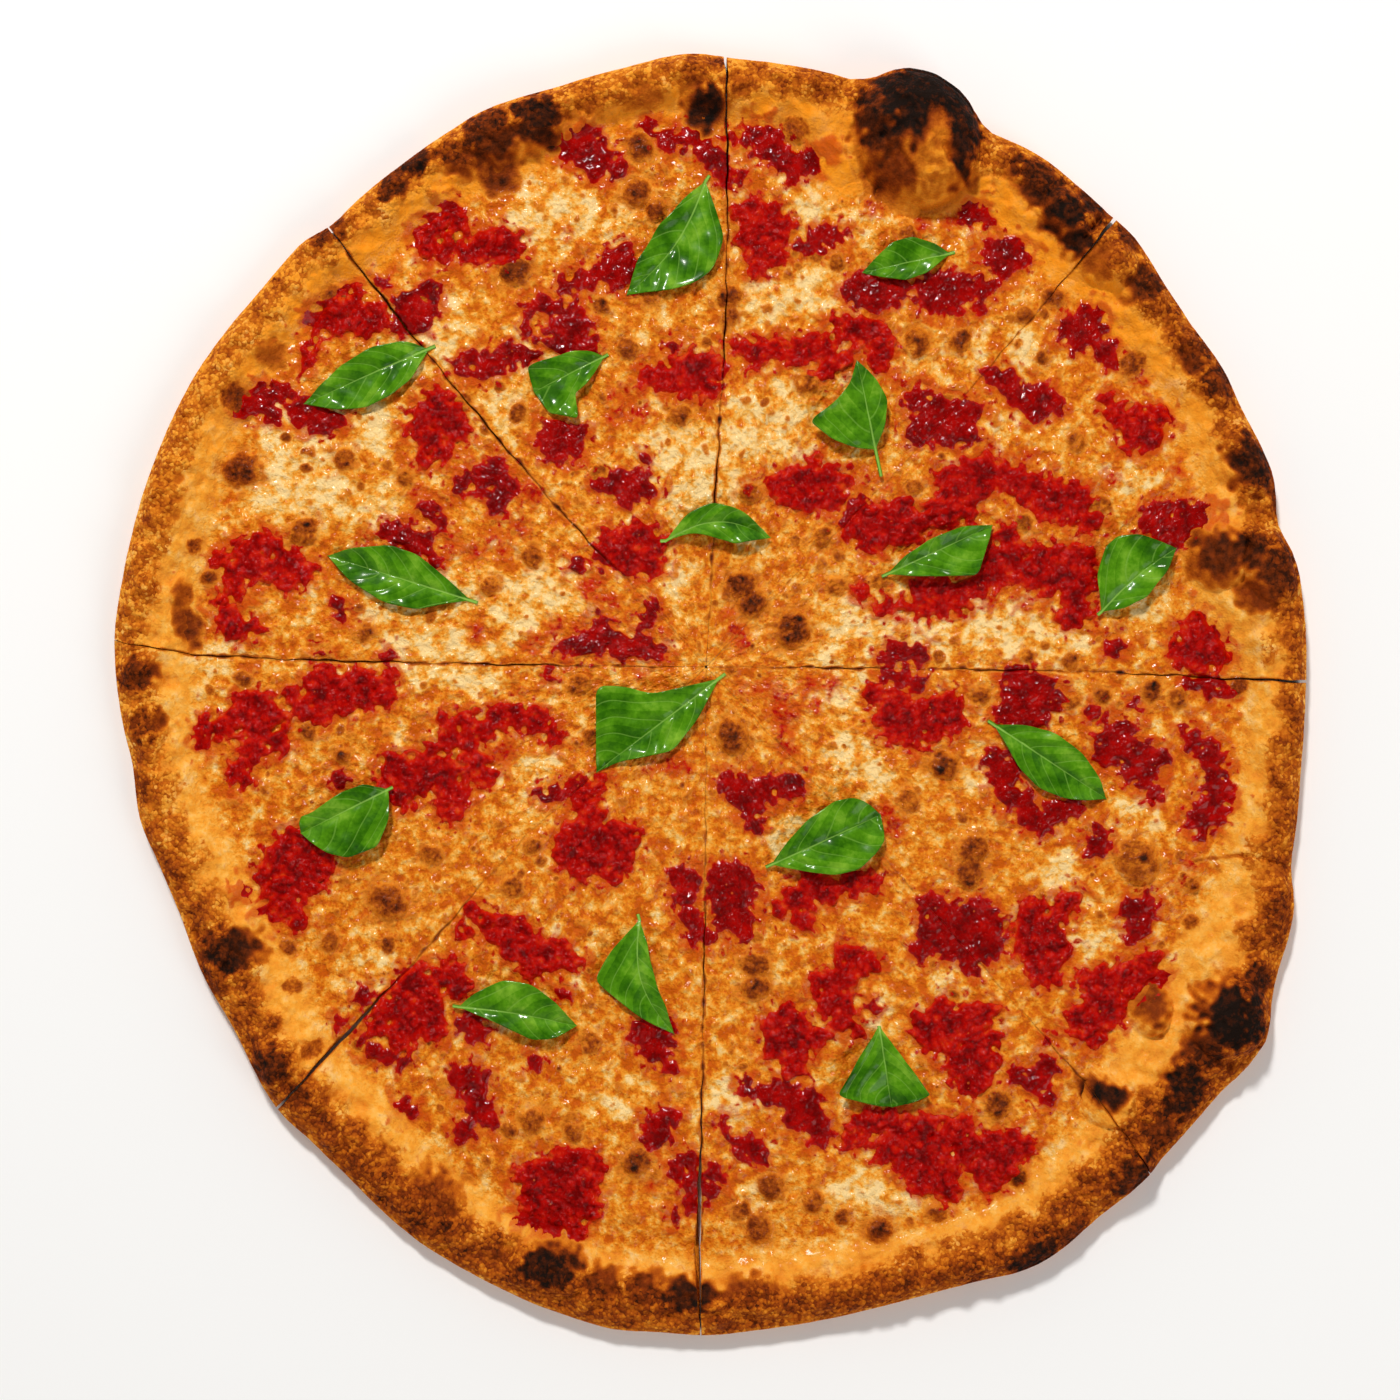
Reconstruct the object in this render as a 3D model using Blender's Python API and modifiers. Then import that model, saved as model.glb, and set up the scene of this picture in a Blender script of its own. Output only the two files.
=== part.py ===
"""A large thin pizza cut into eight slices, with melted cheese, tomato sauce and basil leaves.

Every slice is a crust with a layer of cheese on it. The sauce lies on the cheese in dollops and
ribbons, and the leaves lie on top. Sizes are in millimetres and are scaled to metres at the end of
each piece. Places in plan are measured from where the cuts meet, +X to the right and +Y away.
"""
import math

import bmesh
import bpy
import numpy as np

MM = 0.001
OBJECT_NAME = "pizza"

# Where the cuts meet, measured from the middle of the whole outline.
CUTS_MEET_X = -1.4
CUTS_MEET_Y = 9.65

# A first guess of how far out a place is, from which its angle between two cuts is found.
USUAL_REACH = 195.0

# How far the crust reaches from where the cuts meet: (degrees counter-clockwise from +X, mm).
REACH = (
    (0, 207.6), (5, 207.9), (10, 207.4), (14, 203.3), (18, 207.1), (26, 205.5), (30, 206.6),
    (35, 205.2), (40, 206.6), (45, 210.2), (49, 209.8), (57, 211.4), (63, 209.0), (65, 216.4),
    (70, 219.7), (72.5, 216.5), (75, 209.4), (80, 210.0), (88, 210.6), (90, 212.2), (93, 212.0),
    (97, 209.3), (105, 206.9), (112, 207.4), (118, 204.5), (122, 202.9), (127, 201.6), (130.4, 199.6),
    (133, 202.8), (140, 201.7), (150, 203.6), (160, 203.6), (170, 204.1), (177, 205.2), (180, 204.6),
    (185, 203.1), (190, 201.0), (195, 203.2), (200, 201.0), (205, 201.0), (212, 204.4), (217, 205.4),
    (222, 209.5), (226, 213.5), (230, 213.3), (235, 215.3), (239, 219.0), (244, 222.8), (250, 225.6),
    (255, 228.4), (259, 230.1), (262, 231.8), (266, 230.6), (270, 231.6), (275, 230.1), (285, 229.2),
    (290, 230.1), (294, 232.2), (298, 236.4), (301, 236.4), (305, 233.8), (310, 233.6), (314, 231.4),
    (320, 230.8), (325, 233.8), (327, 232.0), (329, 228.2), (331, 224.9), (335, 222.4), (338, 220.2),
    (341, 213.6), (344, 212.0), (350, 208.8), (355, 207.6),
)
BEND = 1.2

# Width of the bare crust from its outer edge to the cheese: (degrees, mm).
RIM_WIDTH = (
    (0, 23), (9, 39), (20, 25), (30, 22), (40, 26), (50, 30), (60, 27), (66, 43), (75, 43), (80, 24),
    (90, 20), (100, 18), (110, 25), (120, 21), (140, 20), (150, 21), (160, 25), (170, 27), (180, 29),
    (190, 23), (200, 26), (215, 30), (235, 30), (250, 26), (265, 27), (280, 26), (290, 22), (300, 27),
    (310, 29), (316, 39), (325, 44), (331, 37), (340, 26), (350, 21),
)

# Every cut from the middle to the rim: the (distance mm, degrees) that it passes through, and half
# of the width of its gap as (distance mm, mm).
CUTS = (
    {"name": "east", "path": ((0, -0.3), (133, -0.7), (181, -1.3), (208, -1.4)),
     "half_gap": ((0, 0.35), (165, 0.35), (185, 0.7))},
    {"name": "north_east", "path": ((0, 46.0), (100, 45.8), (145, 46.7), (190, 47.3), (209, 47.6)),
     "half_gap": ((0, 0.35), (185, 0.4), (209, 0.9))},
    {"name": "north", "path": ((0, 86.0), (58, 86.9), (113, 86.7), (150, 87.2), (212, 88.2)),
     "half_gap": ((0, 0.35), (170, 0.45), (212, 0.8))},
    {"name": "north_west", "path": ((0, 130.5), (59, 133.2), (104, 132.4), (199, 130.7)),
     "half_gap": ((0, 0.35), (100, 0.45), (199, 0.6))},
    {"name": "west", "path": ((0, 179.6), (90, 179.2), (140, 179.0), (178, 178.6), (205, 177.4)),
     "half_gap": ((0, 0.35), (160, 0.5), (205, 0.45))},
    {"name": "south_west", "path": ((0, 224.5), (85, 223.2), (135, 225.2), (213, 225.9)),
     "half_gap": ((0, 0.35), (150, 0.4), (185, 1.0), (213, 0.7))},
    {"name": "south", "path": ((0, 270.0), (115, 269.6), (207, 269.2), (231, 269.6)),
     "half_gap": ((0, 0.35), (165, 0.4), (180, 1.0), (195, 1.3), (215, 1.1), (226, 0.5))},
    {"name": "south_east", "path": ((0, 313.5), (200, 312.3), (232, 311.3)),
     "half_gap": ((0, 0.35), (232, 0.45))},
)

# How far each slice's tip is set back from the point where its two cuts would meet.
TIP_SETBACK = 0.15

# Heights of the crust and the cheese above the flat base.
DOUGH_FLOOR = 3.5
RIM_CREST = 12.5
CHEESE_TOP = 6.2
CHEESE_EDGE_TOP = 4.9
LAYER_GAP = 0.3

# How far from the rim the cheese starts to thin out, and how high and how long its waves are.
CHEESE_RAMP = 14.0
CHEESE_WAVE = 0.25
CHEESE_WAVE_X, CHEESE_START_X = 11.0, 0.6
CHEESE_WAVE_Y, CHEESE_START_Y = 12.0, 1.1

# The waves in the rim's crest: how many go round, how high they are and where they start.
CREST_WAVES = ((5, 0.8, 0.7), (11, 0.6, 2.1))

# The rim's section: how far across from the cheese to the outer edge, and the share of the crest.
RIM_SECTION = (
    (0.06, 0.18), (0.2, 0.5), (0.38, 0.8), (0.6, 1.0), (0.8, 0.93), (0.94, 0.66), (1.0, 0.34),
)
RIM_UNDERSIDE = ((0.985, 1.6), (0.9, 0.0))

# Bubbles that stand above the rim: (x, y, half length, half width, turn in degrees, height above it).
BUBBLES = (
    (73, 183, 25, 21, 100, 18), (176, 38, 11, 12, 0, 4), (196, 35, 11, 13, 0, 5),
    (125, 155, 11, 8, -45, 4), (138, 141, 12, 10, -45, 5), (187, 72, 12, 14, 60, 3),
    (180, -121, 15, 14, 0, 8), (154, -119, 9, 7, 75, 5), (135, -148, 15, 9, -35, 6),
    (-66, 188, 20, 11, 20, 4), (-148, -137, 11, 9, 45, 3), (-52, -206, 15, 11, 0, 3),
    (0, 193, 8, 8, 0, 2), (147, -174, 12, 10, -45, 3),
)

# Near the rim's outer edge a bubble lifts it less, so that the edge stays round.
BUBBLE_EDGE = 0.9
BUBBLE_EDGE_SHARE = 0.35

# How finely the slices are divided: along the rim, and from the tip out to the rim.
SLICE_STEPS = 16
CRUST_FLOOR_LEVELS = (0.35, 0.7, 1.0)
CRUST_BASE_LEVELS = (0.75, 0.35)
CHEESE_LEVELS = (0.16, 0.33, 0.5, 0.66, 0.82, 0.93)
CHEESE_BOTTOM_LEVELS = (0.8, 0.45)
JOIN_WITHIN = 0.02

# Sauce in dollops and ribbons: the slice that each lies on, then strokes (x1, y1, x2, y2, width).
SAUCE = (
    (1, ((52, 49, 72, 50, 14), (72, 50, 88, 56, 12), (86, 60, 96, 67, 12), (96, 66, 130, 57, 13),
         (130, 56, 134, 49, 8))),
    (1, ((100, 38, 130, 36, 14), (126, 34, 128, 17, 10), (104, 45, 104, 38, 8), (74, 26, 92, 26, 12),
         (92, 27, 102, 34, 8))),
    (1, ((170, 16, 171, 6, 8), (165, 4, 176, 3.5, 9))),
    (1, ((142, 88, 158, 85, 9), (150, 84, 151, 78, 12))),
    (2, ((10, 110, 44, 109, 9), (48, 116, 58, 115, 10), (59, 114, 60, 104, 9), (44, 107, 56, 108, 6))),
    (2, ((14, 157, 24, 156, 9), (19, 156, 19, 143, 12), (19, 142, 25, 146, 9))),
    (2, ((25, 61, 42, 60, 13), (30, 66, 42, 66, 9))),
    (3, ((-98, 148, -89, 157, 8), (-90, 155, -84, 152, 7), (-97, 147, -86, 144, 6),
         (-86, 144, -67, 146, 8))),
    (3, ((-22, 100, -2, 101, 11),)),
    (3, ((-33, 42, -18, 44, 9), (-30, 37, -17, 35, 9), (-26, 42, -25, 36, 12))),
    (4, ((-133, 121, -115, 120, 10), (-136, 119, -138, 106, 5.5), (-125, 126, -121, 129, 6))),
    (4, ((-96, 83, -89, 86, 15), (-93, 92, -93, 85, 9), (-93, 80, -96, 71, 8))),
    (4, ((-168, 37, -152, 42, 8), (-160, 36, -140, 33, 9), (-160, 35, -167, 20, 7), (-166, 16, -157, 13, 8))),
    (5, ((-142, -12, -110, -10, 11), (-132, -5, -128, -8, 8))),
    (5, ((-157, -14, -153, -26, 15), (-174, -24, -158, -20, 9), (-158, -30, -161, -40, 9))),
    (5, ((-106, -40, -88, -38, 13), (-88, -38, -87, -50, 9), (-88, -36, -80, -24, 10),
         (-80, -21, -56, -18, 9))),
    (5, ((-147, -64, -137, -70, 14), (-142, -70, -145, -84, 12), (-150, -71, -157, -76, 7))),
    (6, ((-40, -47, -40, -56, 8), (-46, -60, -30, -60, 15), (-44, -67, -31, -66, 11))),
    (6, ((-104, -113, -96, -122, 16), (-111, -123, -104, -128, 9), (-98, -108, -86, -108, 8))),
    (6, ((-76, -89, -60, -99, 10), (-62, -101, -47, -101, 9))),
    (6, ((-58, -174, -42, -174, 11), (-57, -184, -43, -184, 16), (-52, -190, -45, -192, 9))),
    (7, ((52, -159, 84, -160, 12), (66, -168, 88, -172, 12), (84, -166, 108, -167, 12),
         (76, -176, 83, -180, 9), (97, -172, 100, -178, 9))),
    (7, ((76, -124, 96, -121, 10), (84, -126, 93, -138, 15), (92, -140, 95, -146, 9))),
    (7, ((26, -125, 37, -126, 12), (29, -130, 31, -137, 12), (37, -124, 46, -108, 9), (46, -108, 58, -103, 8))),
    (7, ((34, -78, 34, -88, 12), (36, -75, 56, -74, 9))),
    (8, ((154, -103, 138, -108, 9), (140, -111, 132, -123, 13))),
    (8, ((113, -87, 118, -106, 13), (120, -88, 126, -82, 7))),
    (8, ((58, -12, 88, -15, 10), (66, -18, 80, -22, 11))),
)
SAUCE_GAP = 0.5
SAUCE_EDGE = 0.7
SAUCE_HEIGHT = 1.9
SAUCE_CELLS = 34
SAUCE_CUT_MARGIN = 1.1

# The round end of a stroke, as a share of its width squared, for choosing how fine the grid is.
STROKE_END = 0.6

# A dollop's top swells over this distance from its edge and has lumps of these lengths.
SAUCE_RAMP = 4.5
LUMP_X, LUMP_START_X = 3.1, 1.7
LUMP_Y, LUMP_START_Y = 2.7, 0.4
LUMP_SHARE = 0.3

# The edge of a dollop's grid is drawn to its outline in a few small moves, given in grid spacings.
EDGE_OVERHANG = 0.55
EDGE_MOVES = 3
EDGE_INWARD = 0.4
EDGE_OUTWARD = 0.2
EDGE_SLACK = 0.35
PROBE = 0.1
LEAST_SLOPE = 0.25

# Leaves: stem end, tip, sideways bow of the midrib, then both sides as (share of the length, mm).
LEAVES = (
    {"stem": (-0.2, 168), "tip": (-27.5, 128.5), "bow": 4,
     "left": ((0.12, 6.5), (0.26, 13.5), (0.5, 15.5), (0.65, 13.5), (0.8, 9), (0.92, 3.2)),
     "right": ((0.2, 5), (0.47, 8.5), (0.75, 6.5))},
    {"stem": (84.5, 143), "tip": (54, 136.2), "bow": 0,
     "left": ((0.3, 5), (0.55, 6), (0.8, 3.2)), "right": ((0.15, 4), (0.38, 8.4), (0.6, 8), (0.82, 4))},
    {"stem": (-95.8, 110), "tip": (-139, 90.9), "bow": 0,
     "left": ((0.2, 7.2), (0.4, 9.7), (0.6, 10), (0.8, 6.5)),
     "right": ((0.15, 6), (0.38, 8.4), (0.65, 6.6), (0.85, 3))},
    {"stem": (-35, 107.4), "tip": (-55.5, 88), "bow": 1,
     "left": ((0.3, 4), (0.6, 5), (0.8, 6)), "right": ((0.25, 7), (0.6, 13), (0.88, 10))},
    {"stem": (58.5, 75), "tip": (52, 106), "bow": 0,
     "left": ((0.06, 7), (0.2, 14), (0.45, 20.5), (0.58, 11), (0.75, 4.2)),
     "right": ((0.25, 5), (0.5, 7.4), (0.75, 5))},
    {"stem": (-81.5, 23), "tip": (-131, 38.5), "bow": 0,
     "left": ((0.15, 3.6), (0.32, 8.6), (0.55, 9.6), (0.8, 6)),
     "right": ((0.2, 5), (0.42, 9.6), (0.62, 10), (0.85, 5))},
    {"stem": (-14, 43.5), "tip": (22.5, 44.5), "bow": 6,
     "left": ((0.2, 5), (0.45, 6.6), (0.75, 4.6)), "right": ((0.25, 2), (0.5, 6), (0.66, 7.2), (0.85, 3.4))},
    {"stem": (62.5, 32), "tip": (99, 49), "bow": 0,
     "left": ((0.2, 3), (0.45, 4.6), (0.75, 4)), "right": ((0.2, 4.6), (0.4, 8.4), (0.7, 13.6))},
    {"stem": (136.5, 19), "tip": (162.5, 41), "bow": 1.5,
     "left": ((0.2, 10), (0.45, 15), (0.62, 15), (0.8, 11)), "right": ((0.2, 5), (0.45, 7.6), (0.75, 5))},
    {"stem": (4.5, -4), "tip": (-38, -36.5), "bow": 0,
     "left": ((0.27, 6.6), (0.52, 10.2), (0.68, 6), (0.84, 1.8)),
     "right": ((0.22, 5.2), (0.41, 10), (0.52, 18), (0.66, 23.8))},
    {"stem": (99.5, -20), "tip": (138.5, -45.7), "bow": 0,
     "left": ((0.2, 6), (0.4, 9.2), (0.66, 8.5), (0.85, 5)),
     "right": ((0.15, 3.4), (0.33, 7.8), (0.54, 9.8), (0.74, 7.8), (0.87, 4.4))},
    {"stem": (22.5, -68.3), "tip": (58, -50), "bow": 0,
     "left": ((0.2, 5), (0.42, 8.6), (0.7, 10.5), (0.92, 6.4)),
     "right": ((0.26, 7.8), (0.45, 12.9), (0.7, 15), (0.96, 10.6))},
    {"stem": (-109.7, -42.3), "tip": (-140, -57.5), "bow": 0,
     "left": ((0.11, 8.9), (0.35, 16), (0.67, 14.9), (0.85, 9.9)),
     "right": ((0.19, 5.4), (0.44, 6.4), (0.8, 4.6), (0.94, 5.2))},
    {"stem": (-85.5, -117.4), "tip": (-44.5, -124), "bow": 1,
     "left": ((0.12, 5.4), (0.33, 11), (0.57, 11), (0.79, 6.6)),
     "right": ((0.2, 2.4), (0.42, 5), (0.65, 8), (0.82, 6))},
    {"stem": (-23, -87.5), "tip": (-11, -127), "bow": -5.5,
     "left": ((0.2, 3.6), (0.45, 5), (0.75, 4)),
     "right": ((0.17, 9.4), (0.366, 15.6), (0.6, 9.4), (0.83, 4.6))},
    {"stem": (60, -123.5), "tip": (63, -152), "bow": 0,
     "left": ((0.35, 5.4), (0.69, 10.5), (0.95, 14.2)),
     "right": ((0.33, 9.2), (0.56, 14.6), (0.76, 17.2), (0.92, 8))},
)
LEAF_THICKNESS = 0.5
LEAF_CLEARANCE = 0.5
LEAF_STEPS = 9
LEAF_ACROSS = 4
LEAF_START, LEAF_END = 0.03, 0.97

# A leaf's blade waves along and across it, and its sides stand higher than its midrib.
LEAF_WAVE = 0.7
WAVES_LENGTHWISE = 7.0
WAVES_ACROSS = 2.2
LEAF_CUP = 0.9

# A leaf clears the sauce under it and any that is nearer than this.
NEAR_SAUCE = 4.0

# Colour and roughness of each kind of piece, and the angle from which an edge is a crease.
CRUST_FINISH = ((0.66, 0.36, 0.13), 0.75)
CHEESE_FINISH = ((0.93, 0.6, 0.2), 0.4)
SAUCE_FINISH = ((0.5, 0.02, 0.01), 0.3)
BASIL_FINISH = ((0.06, 0.27, 0.03), 0.45)
CREASE = 50.0


def clear_scene():
    """Remove what the file starts with."""
    for thing in list(bpy.data.objects):
        bpy.data.objects.remove(thing, do_unlink=True)


def make_material(name, finish):
    """A plain material of its own."""
    colour, roughness = finish
    material = bpy.data.materials.new(name)
    material.use_nodes = True
    shader = material.node_tree.nodes["Principled BSDF"]
    shader.inputs["Base Color"].default_value = (*colour, 1.0)
    shader.inputs["Roughness"].default_value = roughness
    shader.inputs["Metallic"].default_value = 0.0
    material.diffuse_color = (*colour, 1.0)
    material.roughness = roughness
    return material


def around(pairs, angle):
    """The value at an angle from (degrees, mm) pairs, with the corners between them eased."""
    degrees = [pair[0] for pair in pairs]
    sizes = [pair[1] for pair in pairs]
    total = 0.0
    for offset in (-BEND, 0.0, BEND):
        total += float(np.interp(angle + offset, degrees, sizes, period=360.0))
    return total / 3.0


def along(pairs, place):
    """The value at a place from (place, value) pairs."""
    return float(np.interp(place, [pair[0] for pair in pairs], [pair[1] for pair in pairs]))


def rim_foot(angle):
    """Where the rim starts to rise, as a distance from where the cuts meet."""
    return around(REACH, angle) - around(RIM_WIDTH, angle)


def cut_angle(cut, distance, side):
    """The angle of one side of a cut's gap at a distance from the middle."""
    path = along(cut["path"], distance)
    gap = along(cut["half_gap"], distance)
    return path + side * math.degrees(math.asin(min(0.99, gap / max(distance, gap))))


def slice_angle(index, share, distance):
    """The angle at a share of the way from a slice's first cut to its second."""
    first = cut_angle(CUTS[index], distance, 1)
    second = cut_angle(CUTS[(index + 1) % len(CUTS)], distance, -1)
    if second < first:
        second += 360.0
    return first + (second - first) * share


def slice_tip(index):
    """How far the tip of a slice stands from where the cuts meet, and in which direction."""
    first = CUTS[index]["path"][0][1]
    second = CUTS[(index + 1) % len(CUTS)]["path"][0][1]
    if second < first:
        second += 360.0
    half_angle = math.radians(second - first) / 2
    distance = CUTS[index]["half_gap"][0][1] / math.sin(half_angle) + TIP_SETBACK
    return distance, (first + second) / 2


def bubble_height(x, y):
    """How far the bubbles lift the rim."""
    lift = 0.0
    for centre_x, centre_y, half_length, half_width, turn, height in BUBBLES:
        angle = math.radians(turn)
        along_x = (x - centre_x) * math.cos(angle) + (y - centre_y) * math.sin(angle)
        along_y = (y - centre_y) * math.cos(angle) - (x - centre_x) * math.sin(angle)
        away = (along_x / half_length) ** 2 + (along_y / half_width) ** 2
        if away < 1.0:
            lift = max(lift, height * math.sqrt(1.0 - away))
    return lift


def rim_crest(angle):
    """The height of the rim between its bubbles, which is a little uneven."""
    turn = math.radians(angle)
    return RIM_CREST + sum(height * math.sin(count * turn + start) for count, height, start in CREST_WAVES)


def cheese_top(x, y):
    """The height of the top of the cheese."""
    distance = math.hypot(x, y)
    foot = rim_foot(math.degrees(math.atan2(y, x)))
    share = min(1.0, max(0.0, (foot - distance) / CHEESE_RAMP))
    eased = share * share * (3 - 2 * share)
    wave = CHEESE_WAVE * math.sin(x / CHEESE_WAVE_X + CHEESE_START_X)
    wave *= math.sin(y / CHEESE_WAVE_Y + CHEESE_START_Y)
    return CHEESE_EDGE_TOP + (CHEESE_TOP - CHEESE_EDGE_TOP + wave) * eased


def plan_point(index, share, distance_at):
    """A point in plan at a share of the way across a slice, at a distance that depends on the angle."""
    angle = slice_angle(index, share, USUAL_REACH)
    distance = distance_at(angle)
    angle = slice_angle(index, share, distance)
    distance = distance_at(angle)
    return distance * math.cos(math.radians(angle)), distance * math.sin(math.radians(angle)), angle


def crust_section():
    """The points of a crust's section from its tip over the top and back underneath."""
    section = [("tip", DOUGH_FLOOR)]
    section += [("floor", level) for level in CRUST_FLOOR_LEVELS]
    section += [("rim", place) for place in RIM_SECTION]
    section += [("under", place) for place in RIM_UNDERSIDE]
    section += [("base", level) for level in CRUST_BASE_LEVELS]
    section += [("tip", 0.0)]
    return section


def crust_point(index, share, item):
    """Where one point of the crust's section stands at a share of the way across its slice."""
    kind, value = item
    if kind == "tip":
        distance, angle = slice_tip(index)
        return distance * math.cos(math.radians(angle)), distance * math.sin(math.radians(angle)), value
    if kind == "floor":
        x, y, _ = plan_point(index, share, lambda angle: value * rim_foot(angle))
        return x, y, DOUGH_FLOOR
    if kind == "base":
        x, y, _ = plan_point(index, share, lambda angle: value * around(REACH, angle))
        return x, y, 0.0
    place, height = value
    x, y, angle = plan_point(
        index, share, lambda angle: rim_foot(angle) + place * around(RIM_WIDTH, angle))
    if kind == "under":
        return x, y, height
    crest = rim_crest(angle) - DOUGH_FLOOR
    lift = bubble_height(x, y)
    if place > BUBBLE_EDGE:
        lift *= BUBBLE_EDGE_SHARE
    return x, y, DOUGH_FLOOR + crest * height + lift


def cheese_section():
    """The points of a layer of cheese's section from its tip over the top and back underneath."""
    section = [("tip", CHEESE_TOP)]
    section += [("top", level) for level in CHEESE_LEVELS]
    section += [("edge_top", 0.0), ("edge_bottom", 0.0)]
    section += [("bottom", level) for level in CHEESE_BOTTOM_LEVELS]
    section += [("tip", DOUGH_FLOOR + LAYER_GAP)]
    return section


def cheese_point(index, share, item):
    """Where one point of the cheese's section stands at a share of the way across its slice."""
    kind, value = item
    if kind == "tip":
        distance, angle = slice_tip(index)
        return distance * math.cos(math.radians(angle)), distance * math.sin(math.radians(angle)), value
    if kind in ("edge_top", "edge_bottom"):
        x, y, _ = plan_point(index, share, lambda angle: rim_foot(angle) - LAYER_GAP)
        return x, y, CHEESE_EDGE_TOP if kind == "edge_top" else DOUGH_FLOOR + LAYER_GAP
    x, y, _ = plan_point(index, share, lambda angle: value * rim_foot(angle))
    return x, y, cheese_top(x, y) if kind == "top" else DOUGH_FLOOR + LAYER_GAP


def swept_mesh(index, section, steps, point_of):
    """Roll a grid round a section that is swept across a slice, join its edges and close its ends."""
    body = bmesh.new()
    around_count = len(section)
    bmesh.ops.create_grid(body, x_segments=steps, y_segments=around_count, size=1.0)
    for vertex in body.verts:
        share = (vertex.co.x + 1.0) / 2.0
        turn = round((vertex.co.y + 1.0) / 2.0 * around_count) % around_count
        x, y, z = point_of(index, share, section[turn])
        vertex.co = (x * MM, y * MM, z * MM)
    bmesh.ops.remove_doubles(body, verts=body.verts, dist=JOIN_WITHIN * MM)
    open_edges = [edge for edge in body.edges if len(edge.link_faces) == 1]
    bmesh.ops.holes_fill(body, edges=open_edges, sides=0)
    bmesh.ops.triangulate(body, faces=body.faces)
    bmesh.ops.recalc_face_normals(body, faces=body.faces)
    return body


def stroke_depth(strokes, x, y):
    """How deep a point lies inside strokes of sauce, below zero outside them."""
    deepest = -1000.0
    for x1, y1, x2, y2, width in strokes:
        length = math.hypot(x2 - x1, y2 - y1)
        place = ((x - x1) * (x2 - x1) + (y - y1) * (y2 - y1)) / (length * length)
        place = min(1.0, max(0.0, place))
        away = math.hypot(x - x1 - place * (x2 - x1), y - y1 - place * (y2 - y1))
        deepest = max(deepest, width / 2 - away)
    return deepest


def inside_slice(index, x, y):
    """How far a point lies inside a slice, measured from its two cuts."""
    distance = math.hypot(x, y)
    angle = math.degrees(math.atan2(y, x))
    first = slice_angle(index, 0.0, distance)
    second = slice_angle(index, 1.0, distance)
    middle = (first + second) / 2
    away = (angle - middle + 180.0) % 360.0 - 180.0
    return ((second - first) / 2 - abs(away)) * math.radians(1.0) * distance


def sauce_depth(index, strokes, x, y):
    """How deep a point lies inside a dollop that stops short of the cuts and of the rim."""
    to_rim = rim_foot(math.degrees(math.atan2(y, x))) - math.hypot(x, y)
    room = min(inside_slice(index, x, y), to_rim) - SAUCE_CUT_MARGIN
    return min(stroke_depth(strokes, x, y), room)


def sauce_area(strokes):
    """A rough area of a dollop, for choosing how finely it is divided."""
    return sum(math.hypot(x2 - x1, y2 - y1) * width + STROKE_END * width * width
               for x1, y1, x2, y2, width in strokes)


def drop_corner_faces(body):
    """Take away faces that meet another face only at a corner."""
    while True:
        pinched = [vertex for vertex in body.verts
                   if sum(1 for edge in vertex.link_edges if len(edge.link_faces) == 1) > 2]
        if not pinched:
            return
        bmesh.ops.delete(body, geom=[pinched[0].link_faces[0]], context="FACES")


def keep_largest_patch(body):
    """Keep only the largest patch of connected faces."""
    left = set(body.faces)
    patches = []
    while left:
        patch = {left.pop()}
        edge_of_patch = list(patch)
        while edge_of_patch:
            face = edge_of_patch.pop()
            for edge in face.edges:
                for other in edge.link_faces:
                    if other in left:
                        left.remove(other)
                        patch.add(other)
                        edge_of_patch.append(other)
        patches.append(patch)
    largest = max(patches, key=len)
    spare = [face for patch in patches if patch is not largest for face in patch]
    if spare:
        bmesh.ops.delete(body, geom=spare, context="FACES")


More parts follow.
